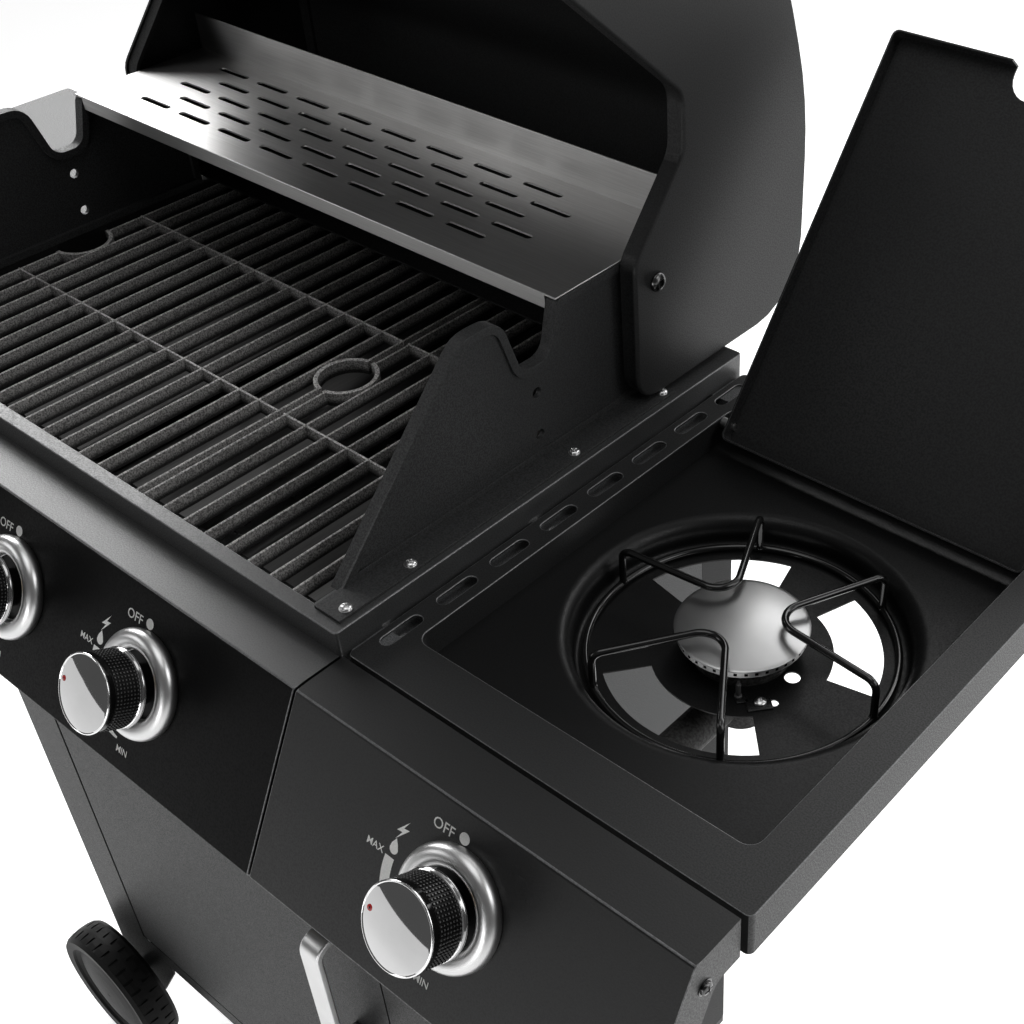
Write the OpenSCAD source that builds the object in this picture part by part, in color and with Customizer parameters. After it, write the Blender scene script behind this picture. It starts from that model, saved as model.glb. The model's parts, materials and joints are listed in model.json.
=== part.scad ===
// Gas barbecue grill on a cart: three main burners, a side burner under a hinged lid,
// a hood that swings back, and one cabinet door.
// Millimetres, +Z up. The origin is on the floor, at the centre of the footprint box.
// X runs to the side burner, -Y is the front. The hood and the side lid are drawn open.

/* [Cart] */
// Height of the side tables above the floor
table_h = 930; // [860:2:990]
// Outer width of the cart and of the frame round the firebox
cart_w = 600; // [590:2:680]
// Depth of the frame round the firebox and of the side tables
table_d = 393; // [385:1:460]
// Width of a front pillar
pillar_w = 65; // [40:1:80]
// Depth of every pillar, front to back
pillar_d = 40; // [30:1:60]
// Width of a rear pillar
rear_pillar_w = 40; // [30:1:60]
// Thickness of the folded sheet
sheet = 1.5; // [1:0.1:2.5]
// Height of the underside of the bottom shelf
shelf_z = 142; // [130:1:170]
// Height of the bottom shelf's rim
shelf_rim = 22; // [12:1:40]

/* [Wheels and feet] */
// Radius of a wheel
wheel_r = 81; // [70:1:81]
// Width of a wheel
wheel_w = 39; // [30:1:45]
// Radius of the axle
axle_r = 6; // [4:0.5:9]
// Height of a foot
foot_h = 74; // [40:1:90]

/* [Firebox] */
// Depth of the firebox below the table height
tub_depth = 116; // [105:1:150]
// Gap from the outer face of the frame to the outer face of a side wall
wall_inset = 28; // [26:1:34]
// Height of a side wall above the frame
wall_h = 111; // [90:1:130]
// Thickness of the side wall casting
wall_t = 4; // [3:0.5:6]
// Height of the frame's top above the side tables
frame_rise = 17.4; // [12:0.2:24]

/* [Cooking grates] */
// Depth of a grate bar, top to bottom
bar_h = 11; // [8:0.5:16]
// Width of a grate bar at its foot
bar_w = 4; // [3:0.5:6]
// Width of a grate bar at its top
bar_top = 1.8; // [1:0.1:3]
// Number of bars in the left grate
left_bars = 16; // [8:1:20]
// Number of bars in the right grate
right_bars = 9; // [5:1:12]
// Where the seam between the two grates lies
seam_x = 81; // [60:1:100]
// Outer radius of the lifting ring in the seam
ring_r = 26; // [20:1:34]

/* [Warming rack] */
// Depth of the rack
rack_d = 129; // [100:1:140]
// Length of a rack slot
rack_slot = 38; // [20:1:42]
// Width of a rack slot
rack_slot_w = 6; // [3:0.5:8]
// Height of the rack's rear upstand
rack_back_h = 31; // [10:1:40]

/* [Hood] */
// Height of the hood's pivot above the side tables
pivot_z = 112; // [110:1:118]
// Height of the closed hood's top above the side tables
hood_top = 285; // [260:1:330]
// Radius of the hood's pivot bolts
hood_bolt_r = 4; // [3:0.5:6]
// Length of the hood's handle
handle_len = 470; // [300:5:520]
// Radius of the hood's handle
handle_r = 12; // [9:0.5:16]

/* [Control panel] */
// Lean of the panel's face from upright
panel_tilt = 28.7; // [20:0.1:36]
// Height of the panel's face, down the slope
panel_face = 130; // [118:1:150]
// Depth of the flat strip on top of the panel
panel_top = 35; // [25:1:50]
// Distance from the panel's ridge down to the main knobs
knob_drop = 61; // [52:1:66]
// Distance from the side panel's ridge down to its knob
side_knob_drop = 56; // [52:1:66]
// Distance between the main knobs
knob_pitch = 151; // [110:1:155]
// How far the middle main knob stands to the right of the centre
knob_shift = 20; // [0:1:30]
// Radius of a knob
knob_r = 26; // [20:0.5:28]
// Outer radius of a knob's chrome bezel
bezel_r = 37.2; // [34:0.1:42]
// How far a knob can be pushed in
knob_push = 4; // [2:0.5:6]

/* [Side burner] */
// Width of a side table
table_w = 303; // [296:1:360]
// Height of the edge of a side table
table_edge = 32; // [24:1:50]
// Width of the slotted strip at the recess's inner side
rail_w = 23; // [20:1:30]
// Depth of the recess under the lid
recess_d = 22; // [20:1:30]
// Radius of the burner well
well_r = 118; // [112:1:118]
// Depth of the burner well below the recess
well_d = 20; // [16:1:28]
// Radius of the burner's cap
cap_r = 43.5; // [34:0.5:50]
// Radius of the pan support's ring
trivet_r = 100; // [85:1:100]
// Radius of the pan support's wire
wire_r = 2.5; // [2:0.1:3.5]
// Depth of the lid's folded edge
lid_edge = 12.7; // [8:0.1:14]

/* [Hidden] */
$fn = 48;
fit = 0.06;
gap = 0.5;

T = table_h;
half_w = cart_w / 2;
table_gap = 2;
table_x0 = half_w + table_gap;
table_x1 = table_x0 + table_w;
pose_hood = -90;
pose_lid = -128.9;

// Depth values are measured from the front edge of the side tables and moved by front_y,
// which centres the footprint box between the knobs and the raised lid's far edge.
pivot_y = 308;
recess_front = 35;
recess_back = table_d - 41;
lid_pivot_y = recess_back - 14;
lid_pivot_z = -5;
lid_tail = 11.2;
lid_skin = 2.2;
lid_gap = 4.2;
lid_arm = lid_pivot_y - recess_front - lid_gap;
knob_face_z = 43.8;
knob_foot = 15.4;
panel_y0 = -panel_top - 4;
longest_drop = max(knob_drop, side_knob_drop);
reach_front = panel_y0 - (longest_drop + knob_r) * sin(panel_tilt) - knob_face_z * cos(panel_tilt);
reach_back = lid_pivot_y - lid_arm * cos(pose_lid) + lid_skin * cos(90 + pose_lid);
front_y = -(reach_front + reach_back) / 2;

cart_y0 = front_y + 9;
cart_y1 = front_y + table_d - 8;
frame_y0 = front_y - 4;
frame_y1 = front_y + table_d;
frame_z = T + frame_rise;
cart_top = T - tub_depth - 2;

wall_x = half_w - wall_inset;
tub_x = wall_x - wall_t;
tub_y0 = front_y + 5.5;
tub_y1 = frame_y1 - 14.5;
grate_y0 = tub_y0 + sheet + 1;
grate_y1 = tub_y1 - sheet - 1;
grate_z = T + bar_h + 0.2;
wall_y0 = front_y + 23;
wall_y1 = front_y + pivot_y + 12;
wall_top = frame_z + wall_h;
notch_y = front_y + 204;
burner_r = 12.5;
knob_x = [for (i = [-1 : 1]) knob_shift - i * knob_pitch];
side_knob_x = (table_x0 + table_x1) / 2;
all_knob_x = concat(knob_x, [side_knob_x]);

// The gas pipe runs straight behind all the valves, square behind the side knob
pipe_r = 8;
pipe_back = 48;
pipe_y = front_y + panel_y0 - side_knob_drop * sin(panel_tilt) + pipe_back * cos(panel_tilt);
pipe_z = T - side_knob_drop * cos(panel_tilt) - pipe_back * sin(panel_tilt);
burner_z = pipe_z - 12;

recess_x0 = table_x0 + rail_w;
recess_x1 = table_x1 - 25;
recess_y0 = front_y + recess_front;
recess_y1 = front_y + recess_back;
recess_z = T - recess_d;
burner_x = (recess_x0 + recess_x1) / 2 + 6;
burner_y = (recess_y0 + recess_y1) / 2 - 7.5;
well_z = recess_z - well_d;
lid_x0 = recess_x0 + 9;
lid_x1 = recess_x1 - 2;

// ---------- Outlines ----------

function unit(v) = v / norm(v);
function xy(p) = [p[0], p[1]];

// The corner [x, y, radius] between its neighbours, as points on an arc
function corner(before, at, after) =
    at[2] == 0 ? [xy(at)] :
    let (u = unit(xy(before) - xy(at)), v = unit(xy(after) - xy(at)),
         half = acos(u * v) / 2,
         centre = xy(at) + unit(u + v) * at[2] / sin(half),
         first = xy(at) + u * at[2] / tan(half) - centre,
         last = xy(at) + v * at[2] / tan(half) - centre,
         a0 = atan2(first[1], first[0]),
         turn = (atan2(last[1], last[0]) - a0 + 540) % 360 - 180,
         steps = max(2, ceil(abs(turn) / (at[2] > 60 ? 5 : 15))))
    [for (i = [0 : steps]) centre + at[2] * [cos(a0 + turn * i / steps), sin(a0 + turn * i / steps)]];

// A closed outline whose corners [x, y, radius] are rounded
function rounded(p) =
    let (n = len(p)) [for (i = [0 : n - 1]) each corner(p[(i + n - 1) % n], p[i], p[(i + 1) % n])];

// The same outline, drawn anticlockwise, moved inwards by d
function inset(p, d) =
    let (n = len(p))
    [for (i = [0 : n - 1])
        let (e1 = unit(xy(p[i]) - xy(p[(i + n - 1) % n])), e2 = unit(xy(p[(i + 1) % n]) - xy(p[i])),
             n1 = [-e1[1], e1[0]], n2 = [-e2[1], e2[0]],
             convex = e1[0] * e2[1] - e1[1] * e2[0] > 0,
             move = (n1 + n2) * d / (1 + n1 * n2))
        [p[i][0] + move[0], p[i][1] + move[1],
         p[i][2] == 0 ? 0 : max(p[i][2] + (convex ? -d : d), 0.2)]];

function rect(x, y, r = 0) = [[x[0], y[0], r], [x[1], y[0], r], [x[1], y[1], r], [x[0], y[1], r]];

// A slot of length l along x, with ends rounded in six steps
function slot(cx, cy, l, w) =
    [for (side = [0, 1]) for (a = [-90 : 30 : 90])
        [cx + (side == 0 ? 1 : -1) * (l - w) / 2 + w / 2 * cos(a + 180 * side),
         cy + w / 2 * sin(a + 180 * side)]];

module shape(p) polygon(rounded(p));

// A flat band of width d inside an outline
module band(p, d) difference() { shape(p); shape(inset(p, d)); }

// ---------- Solids along an axis ----------

module block(x, y, z)
    translate([x[0], y[0], z[0]]) cube([x[1] - x[0], y[1] - y[0], z[1] - z[0]]);

// Extrudes an outline drawn in Y and Z along X
module along_x(x) translate([x[0], 0, 0]) rotate([90, 0, 90]) linear_extrude(x[1] - x[0]) children();

// Extrudes an outline drawn in X and Z along Y
module along_y(y) translate([0, y[1], 0]) rotate([90, 0, 0]) linear_extrude(y[1] - y[0]) children();

module rod_x(x, y, z, r) translate([x[0], y, z]) rotate([0, 90, 0]) cylinder(r = r, h = x[1] - x[0]);
module rod_y(x, y, z, r) translate([x, y[1], z]) rotate([90, 0, 0]) cylinder(r = r, h = y[1] - y[0]);
module rod_z(x, y, z, r) translate([x, y, z[0]]) cylinder(r = r, h = z[1] - z[0]);
module both_sides() { children(); mirror([1, 0, 0]) children(); }

// ---------- Round wire as one swept skin ----------

function ring_at(c, u, v, r, n) = [for (k = [0 : n - 1]) c + r * (cos(k * 360 / n) * u + sin(k * 360 / n) * v)];
function tangent(p, i) = unit(p[min(i + 1, len(p) - 1)] - p[max(i - 1, 0)]);
function carry(u, t) = unit(u - (u * t) * t);
function frames(p, i = 0, u = [0, 0, 0]) =
    let (t = tangent(p, i), w = i == 0 ? carry([0.3, 1, 0.2], t) : carry(u, t))
    i == len(p) - 1 ? [[w, cross(t, w)]] : concat([[w, cross(t, w)]], frames(p, i + 1, w));

module wire(p, r, n = 10) {
    f = frames(p);
    m = len(p);
    polyhedron(
        points = [for (i = [0 : m - 1]) each ring_at(p[i], f[i][0], f[i][1], r, n)],
        faces = concat(
            [[for (k = [0 : n - 1]) k]],
            [for (i = [0 : m - 2]) for (k = [0 : n - 1])
                [i * n + k, (i + 1) * n + k, (i + 1) * n + (k + 1) % n, i * n + (k + 1) % n]],
            [[for (k = [n - 1 : -1 : 0]) (m - 1) * n + k]]));
}

// ---------- Cart ----------

module tube_leg(x, y, z) {
    difference() {
        block(x, y, z);
        block([x[0] + sheet, x[1] - sheet], [y[0] + sheet, y[1] - sheet], [z[0] - 1, z[1] + 1]);
    }
}

axle_x = -half_w + 37;
bracket_low = wheel_r - 30;

// Plate that hangs under the shelf and carries the axle
module axle_bracket(y) {
    difference() {
        along_y(y) shape([
            [-half_w, shelf_z, 0], [-half_w, wheel_r, 4], [axle_x - 22, bracket_low, 12],
            [axle_x + 24, bracket_low, 12], [axle_x + 71, shelf_z - 15, 6], [axle_x + 71, shelf_z, 0]]);
        rod_y(axle_x, [y[0] - 1, y[1] + 1], wheel_r, axle_r + fit);
    }
}

module leg_front_left() color("dimgray") {
    tube_leg([-half_w, -half_w + pillar_w], [cart_y0, cart_y0 + pillar_d], [shelf_z, cart_top]);
    axle_bracket([cart_y0, cart_y0 + sheet * 2]);
}

module leg_front_right() color("dimgray")
    tube_leg([half_w - pillar_w, half_w], [cart_y0, cart_y0 + pillar_d], [foot_h, cart_top]);

module leg_rear_left() color("dimgray") {
    tube_leg([-half_w, -half_w + rear_pillar_w], [cart_y1 - pillar_d, cart_y1], [shelf_z, cart_top]);
    axle_bracket([cart_y1 - sheet * 2, cart_y1]);
}

module leg_rear_right() color("dimgray")
    tube_leg([half_w - rear_pillar_w, half_w], [cart_y1 - pillar_d, cart_y1], [foot_h, cart_top]);

// Plastic foot: a tapered shoe with a collar under the leg
module foot(x, y) {
    block(x, y, [foot_h - 12, foot_h]);
    along_y([y[0] + 2, y[1] - 2]) polygon([
        [x[0] + 2, foot_h - 12], [x[0] + 10, 0], [x[1] - 6, 0], [x[1] - 2, foot_h - 12]]);
}

module feet() color("black") {
    foot([half_w - pillar_w, half_w], [cart_y0, cart_y0 + pillar_d]);
    foot([half_w - rear_pillar_w, half_w], [cart_y1 - pillar_d, cart_y1]);
}

module bottom_shelf() color("dimgray") {
    z = [shelf_z, shelf_z + shelf_rim];
    side_x = half_w - sheet;
    front_x = half_w - pillar_w;
    rear_x = half_w - rear_pillar_w;
    translate([0, 0, z[1] - sheet]) linear_extrude(sheet) polygon([
        [-front_x, cart_y0], [front_x, cart_y0], [front_x, cart_y0 + pillar_d],
        [side_x, cart_y0 + pillar_d], [side_x, cart_y1 - pillar_d], [rear_x, cart_y1 - pillar_d],
        [rear_x, cart_y1], [-rear_x, cart_y1], [-rear_x, cart_y1 - pillar_d],
        [-side_x, cart_y1 - pillar_d], [-side_x, cart_y0 + pillar_d], [-front_x, cart_y0 + pillar_d]]);
    block([-front_x, front_x], [cart_y0, cart_y0 + sheet], [z[0], z[1] - sheet]);
    block([-rear_x, rear_x], [cart_y1 - sheet, cart_y1], [z[0], z[1] - sheet]);
}

// Upper part under the frame, lower part between the pillars
module side_panel() along_x([half_w - sheet, half_w]) polygon([
    [cart_y0 + pillar_d, shelf_z], [cart_y1 - pillar_d, shelf_z],
    [cart_y1 - pillar_d, cart_top], [cart_y1, cart_top], [cart_y1, T - 8],
    [cart_y0, T - 8], [cart_y0, cart_top], [cart_y0 + pillar_d, cart_top]]);

module side_panel_left() color("gray") mirror([1, 0, 0]) side_panel();
module side_panel_right() color("gray") side_panel();

header_z = [cart_top - 19, cart_top];
door_z = [shelf_z + shelf_rim + 2, header_z[0] - 2];
door_gap = 1.6;
hinge_x = -half_w + pillar_w + door_gap + 10;
hinge_y = cart_y0 + 5;
hinge_r = 2.5;

module front_header() color("dimgray") {
    x = half_w - pillar_w;
    block([-x, x], [cart_y0, cart_y0 + sheet], header_z);
    block([-x, x], [cart_y0 + sheet, cart_y0 + 24], [header_z[0], header_z[0] + sheet]);
}

module rear_brace() color("dimgray") {
    x = half_w - rear_pillar_w;
    block([-x, x], [cart_y1 - sheet, cart_y1], [cart_top - 70, cart_top - 32]);
    block([-x, x], [cart_y1 - 16, cart_y1 - sheet], [cart_top - 70, cart_top - 70 + sheet]);
}

wheel_gap = 13;
wheel_y0 = cart_y0 - wheel_gap - wheel_w;
wheel_y1 = cart_y1 + wheel_gap;

module axle() color("silver") {
    y = [wheel_y0 + 8, wheel_y1 + wheel_w - 8];
    rod_y(axle_x, y, wheel_r, axle_r);
    for (collar = [[cart_y0 - 4, cart_y0], [cart_y1, cart_y1 + 4]]) rod_y(axle_x, collar, wheel_r, axle_r + 5);
}

// Moulded wheel: tread blocks, a dished web, and a domed hub over the axle's end
module wheel(y0, outward) {
    blocks = 36;
    h = wheel_w / 2;
    web_r = wheel_r * 0.78;
    tread_r = wheel_r * 0.8;
    translate([axle_x, y0 + h, wheel_r]) rotate([outward * 90, 0, 0]) difference() {
        rotate_extrude($fn = 96) polygon(concat(
            [[axle_r + fit, -h], [16, -h], [17, -8], [web_r, -8], [tread_r, 1 - h], [wheel_r - 5, -h]],
            [for (a = [-60 : 30 : 60]) [wheel_r - 4 + 4 * cos(a), (h - 4) * sin(a) / sin(60)]],
            [[wheel_r - 5, h], [tread_r, h - 1], [web_r, h - 4]],
            [for (a = [75 : -15 : 15]) [web_r * 0.96 * sin(a), h - 9 + 8 * cos(a)]],
            [[0, h - 1], [0, h - 7], [axle_r + fit, h - 7]]));
        for (i = [0 : blocks - 1]) rotate([0, 0, i * 360 / blocks]) {
            translate([wheel_r - 2, -1.6, 3]) cube([6, 3.2, wheel_w]);
            translate([wheel_r - 2, 4.5, -wheel_w - 3]) cube([6, 3.2, wheel_w]);
        }
    }
}

module wheel_front() color("black") wheel(wheel_y0, 1);
module wheel_rear() color("black") wheel(wheel_y1, -1);

// ---------- Door ----------

door_x = half_w - pillar_w - door_gap;
door_t = 18;

module door() color("gray") difference() {
    union() {
        difference() {
            block([-door_x, door_x], [cart_y0, cart_y0 + door_t], door_z);
            block([-door_x + sheet, door_x - sheet], [cart_y0 + sheet, cart_y0 + door_t + 1],
                  [door_z[0] + sheet, door_z[1] - sheet]);
        }
        for (z = [door_z[0] + sheet, door_z[1] - sheet - 20])
            block([-door_x + sheet, hinge_x + 7], [cart_y0 + sheet, cart_y0 + 12], [z, z + 20]);
    }
    for (z = [door_z[0], door_z[1] - 22]) rod_z(hinge_x, hinge_y, [z - 1, z + 23], hinge_r + fit);
}

handle_z = [(door_z[0] + door_z[1]) / 2 - 80, (door_z[0] + door_z[1]) / 2 + 80];

// Bow handle: one flat bar bent into two feet
module door_handle() color("silver") {
    y = cart_y0;
    along_x([door_x - 54, door_x - 32]) difference() {
        shape([[y - 32, handle_z[0], 16], [y, handle_z[0], 0], [y, handle_z[1], 0], [y - 32, handle_z[1], 16]]);
        shape([[y - 25, handle_z[0] + 8, 9], [y + 1, handle_z[0] + 8, 0],
               [y + 1, handle_z[1] - 8, 0], [y - 25, handle_z[1] - 8, 9]]);
    }
}

module door_hinge_pins() color("silver") {
    rod_z(hinge_x, hinge_y, [door_z[0] - 2, door_z[0] + 16], hinge_r);
    rod_z(hinge_x, hinge_y, [door_z[0] - 2, door_z[0] - 0.2], hinge_r + 3);
    rod_z(hinge_x, hinge_y, [door_z[1] - 16, door_z[1] + 2], hinge_r);
}

// ---------- Firebox ----------

tub_floor = T - tub_depth;
tub_slope_z = T - tub_depth + 40;
drain_x = 150;

module tub_section(d) polygon([
    [-tub_x + d, frame_z], [-tub_x + d, tub_slope_z], [-drain_x, tub_floor + d],
    [drain_x, tub_floor + d], [tub_x - d, tub_slope_z], [tub_x - d, frame_z]]);

// Sheet tub under the grates, with a drain opening and ledges for the grates and the heat tents
module firebox_tub() color("black") {
    rim_z = [frame_z - sheet * 2, frame_z - sheet];
    difference() {
        along_y([tub_y0, tub_y1]) tub_section(0);
        along_y([tub_y0 + sheet, tub_y1 - sheet]) tub_section(sheet);
        block([-drain_x + 50, drain_x - 50], [tub_y0 + 100, tub_y1 - 110], [tub_floor - 1, tub_floor + 3]);
        block([-half_w, half_w], [front_y, frame_y1], [rim_z[1], frame_z + 1]);
        for (x = knob_x) rod_y(x, [tub_y0 - 1, tub_y0 + sheet + 1], burner_z, burner_r);
    }
    difference() {
        block([-tub_x - 16, tub_x + 16], [tub_y0 - 7, tub_y1 + 10], rim_z);
        block([-tub_x, tub_x], [tub_y0, tub_y1], [rim_z[0] - 1, rim_z[1] + 1]);
    }
    for (z = [T + 0.2 - sheet, T - 50]) {
        block([-tub_x + sheet, tub_x - sheet], [tub_y0 + sheet, tub_y0 + 14], [z, z + sheet]);
        block([-tub_x + sheet, tub_x - sheet], [tub_y1 - 14, tub_y1 - sheet], [z, z + sheet]);
    }
}

// Frame round the firebox's mouth, folded down on the outside
module base_frame() color("dimgray") {
    outer = rect([-half_w, half_w], [frame_y0, frame_y1], 3);
    difference() {
        translate([0, 0, T - 8]) linear_extrude(frame_rise + 8) shape(outer);
        translate([0, 0, T - 9]) linear_extrude(frame_rise + 9 - sheet) shape(inset(outer, sheet));
        block([-tub_x, tub_x], [tub_y0 + sheet, tub_y1 - sheet], [T, frame_z + 1]);
    }
}

wall_outline = [
    [wall_y0, frame_z, 0], [wall_y1, frame_z, 0], [wall_y1, wall_top, 10],
    [notch_y + 23, wall_top, 6], [notch_y + 13, frame_z + wall_h * 0.66, 12],
    [notch_y - 13, frame_z + wall_h * 0.66, 12], [notch_y - 28, wall_top + 9, 18],
    [notch_y - 62, wall_top + 10, 24]];

// Cast end wall: a beaded rim, a notch for a spit rod, two bracket holes and the hood's pivot boss
module firebox_wall() {
    bolt_y = front_y + pivot_y;
    bolt_z = T + pivot_z;
    difference() {
        union() {
            along_x([wall_x - wall_t, wall_x]) shape(wall_outline);
            along_x([wall_x - wall_t - 4, wall_x + 2]) band(wall_outline, 6);
            block([wall_x, half_w - 5], [front_y + 4, wall_y1], [frame_z, frame_z + 2]);
            rod_x([wall_x, half_w - 13.3], bolt_y, bolt_z, hood_bolt_r + 4);
        }
        rod_x([wall_x - 9, half_w], bolt_y, bolt_z, hood_bolt_r);
        for (z = [frame_z + 17.5, frame_z + 51]) rod_x([wall_x - 9, half_w - 20], notch_y, z, 3.9);
        block([0, half_w], [front_y, frame_y1], [frame_z - 9, frame_z]);
    }
}

module firebox_wall_left() color("dimgray") mirror([1, 0, 0]) firebox_wall();
module firebox_wall_right() color("dimgray") firebox_wall();

// Four screws along each flange, at these parts of its length
screw_y = [for (part = [0.045, 0.209, 0.681, 0.975]) front_y + part * (wall_y1 - front_y)];

module flange_screws() color("silver") both_sides() for (y = screw_y) {
    translate([half_w - 11, y, frame_z + 2]) {
        cylinder(r = 4.4, h = 1.4);
        translate([0, 0, 1.4]) cylinder(r1 = 4.4, r2 = 2.6, h = 1.2);
    }
}

// ---------- Grates ----------

// Section of a cast bar: thin and rounded at the top, thicker at the foot
function bar_section(at) = [
    [at - bar_w / 2, grate_z - bar_h + 1], [at - bar_w / 2 + 1, grate_z - bar_h],
    [at + bar_w / 2 - 1, grate_z - bar_h], [at + bar_w / 2, grate_z - bar_h + 1],
    [at + bar_top / 2, grate_z - 0.6], [at + bar_top / 4, grate_z],
    [at - bar_top / 4, grate_z], [at - bar_top / 2, grate_z - 0.6]];

// Cast grate between two x values, with a half ring for lifting at each x in rings
module grate(x0, x1, bars, rings) {
    first = x0 + bar_w / 2;
    pitch = (x1 - x0 - bar_w) / (bars - 1);
    step = (grate_y1 - grate_y0 - bar_w) / 3;
    ring_y = grate_y0 + step * 1.52;
    intersection() {
        union() {
            difference() {
                union() {
                    for (i = [0 : bars - 1])
                        along_y([grate_y0, grate_y1]) polygon(bar_section(first + i * pitch));
                    for (y = [0 : 3]) along_x([x0, x1])
                        polygon(bar_section(grate_y0 + bar_w / 2 + y * step));
                }
                for (x = rings) rod_z(x, ring_y, [grate_z - 20, grate_z + 1], ring_r - bar_w / 2);
            }
            for (x = rings) difference() {
                rod_z(x, ring_y, [grate_z - bar_h, grate_z], ring_r);
                rod_z(x, ring_y, [grate_z - bar_h - 1, grate_z + 1], ring_r - bar_w + 0.6);
            }
        }
        block([x0, x1], [grate_y0, grate_y1], [grate_z - bar_h, grate_z]);
    }
}

module grate_left() color("dimgray")
    grate(-tub_x + sheet + gap, seam_x - 2, left_bars, [seam_x + 2, -tub_x + sheet]);
module grate_right() color("dimgray")
    grate(seam_x + 2, tub_x - sheet - gap, right_bars, [seam_x - 2]);

// ---------- Warming rack ----------

rack_y0 = notch_y + 24;
rack_half = wall_x + 1;
rack_lip = tub_x - 5;
rack_z = wall_top + sheet;

module warming_rack() color("silver") {
    rows = 5;
    columns = 8;
    row_step = rack_d * 0.153;
    slot_pitch = rack_slot * 1.36;
    first_x = -slot_pitch * (columns - 0.5) / 2 - 9;
    translate([0, 0, wall_top]) linear_extrude(sheet) difference() {
        translate([-rack_half, rack_y0 - sheet]) square([2 * rack_half, rack_d + sheet]);
        for (row = [0 : rows - 1], i = [0 : columns - 1])
            polygon(slot(first_x + (i + (row % 2) / 2) * slot_pitch, rack_y0 + rack_d * 0.225 + row * row_step,
                         rack_slot, rack_slot_w));
    }
    block([-rack_lip, rack_lip], [rack_y0 - sheet, rack_y0], [wall_top - 10, rack_z]);
    block([-rack_half, rack_half], [rack_y0 + rack_d - sheet, rack_y0 + rack_d],
          [wall_top, rack_z + rack_back_h]);
}

// ---------- Burners and gas ----------

tent_w = 104;
tent_z = T - 50 + sheet;

module heat_tents() color("silver") for (x = knob_x)
    along_y([tub_y0 + sheet, tub_y1 - sheet]) polygon([
        [x - tent_w / 2, tent_z], [x - tent_w / 2 + 2, tent_z], [x, tent_z + 30],
        [x + tent_w / 2 - 2, tent_z], [x + tent_w / 2, tent_z], [x, tent_z + 31.4]]);

// Tube burner with a row of ports on each side, open at the front for its gas jet
module burner(x) color("gray") difference() {
    rod_y(x, [tub_y0 - 14, tub_y1 - sheet], burner_z, burner_r);
    rod_y(x, [tub_y0 - 15, tub_y1 - sheet - 2], burner_z, burner_r - 1.2);
    for (side = [-1, 1], y = [tub_y0 + 50 : 14 : tub_y1 - 30])
        translate([x, y, burner_z]) rotate([0, side * 50, 0]) translate([-1, 0, 0]) cube([2, 7, burner_r + 2]);
}

module burner_1() burner(knob_x[0]);
module burner_2() burner(knob_x[1]);
module burner_3() burner(knob_x[2]);

// Places its children on the panel's face at a knob, +Z out of the face and +Y up the slope
module at_knob(x)
    translate([x, front_y + panel_y0, T]) rotate([90 - panel_tilt, 0, 0])
        translate([0, -(x == side_knob_x ? side_knob_drop : knob_drop), 0]) children();

inlet_r = 4.5;
inlet_x = knob_x[2] - 44;

// Gas pipe behind the panels, with an inlet spigot for the hose at its left end
module gas_manifold() color("silver") {
    rod_x([knob_x[2] - 18, side_knob_x + 16], pipe_y, pipe_z, pipe_r);
    rod_x([inlet_x, knob_x[2] - 18], pipe_y, pipe_z, inlet_r);
    for (x = [knob_x[2] + knob_pitch / 2, knob_x[1] + knob_pitch / 2])
        block([x, x + 3], [pipe_y, tub_y0], [pipe_z - 6, pipe_z + 6]);
}

stem_r = 4;

module gas_valves() color("goldenrod") for (x = all_knob_x) difference() {
    union() {
        at_knob(x) {
            translate([-11, -14, -pipe_back]) cube([22, 28, pipe_back - 16]);
            translate([0, 0, -16.1]) cylinder(r = 8, h = 6);
        }
        rod_y(x, [pipe_y - 8, tub_y0], burner_z, 4);
    }
    rod_x([x - 20, x + 20], pipe_y, pipe_z, pipe_r);
    at_knob(x) translate([0, 0, -34]) cylinder(r = stem_r + fit, h = 40);
}

module valve_stem(x) color("goldenrod") at_knob(x) {
    translate([0, 0, -26]) cylinder(r = stem_r, h = 56);
    translate([0, 0, -4]) cylinder(r = stem_r + 1.5, h = 3);
}

module valve_stem_1() valve_stem(knob_x[0]);
module valve_stem_2() valve_stem(knob_x[1]);
module valve_stem_3() valve_stem(knob_x[2]);
module valve_stem_4() valve_stem(side_knob_x);

// Knob: a chrome flange at its foot, a black grip with flutes and a chrome face
module knob(x) color("black") at_knob(x) difference() {
    grip_z = [knob_foot + 4.3, 37];
    union() {
        translate([0, 0, knob_foot]) rotate_extrude() polygon([
            [0, 0], [knob_r - 1, 0], [knob_r + 0.2, 1.5], [knob_r + 0.2, 3], [knob_r - 0.4, 4.3], [0, 4.3]]);
        translate([0, 0, grip_z[0]]) difference() {
            cylinder(r = knob_r - 0.4, h = grip_z[1] - grip_z[0]);
            for (a = [0 : 10 : 350]) rotate([0, 0, a]) translate([knob_r - 0.4, 0, -1]) cylinder(r = 0.9, h = 23);
        }
        translate([0, 0, grip_z[1]]) rotate_extrude() polygon([
            [0, 0], [knob_r - 0.4, 0], [knob_r, 1.2], [knob_r, knob_face_z - 38.2],
            [knob_r - 1.2, knob_face_z - 37], [0, knob_face_z - 37]]);
    }
    translate([0, 0, knob_foot - 1]) cylinder(r = stem_r + fit, h = 31 - knob_foot);
}

module knob_1() knob(knob_x[0]);
module knob_2() knob(knob_x[1]);
module knob_3() knob(knob_x[2]);
module knob_4() knob(side_knob_x);

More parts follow.
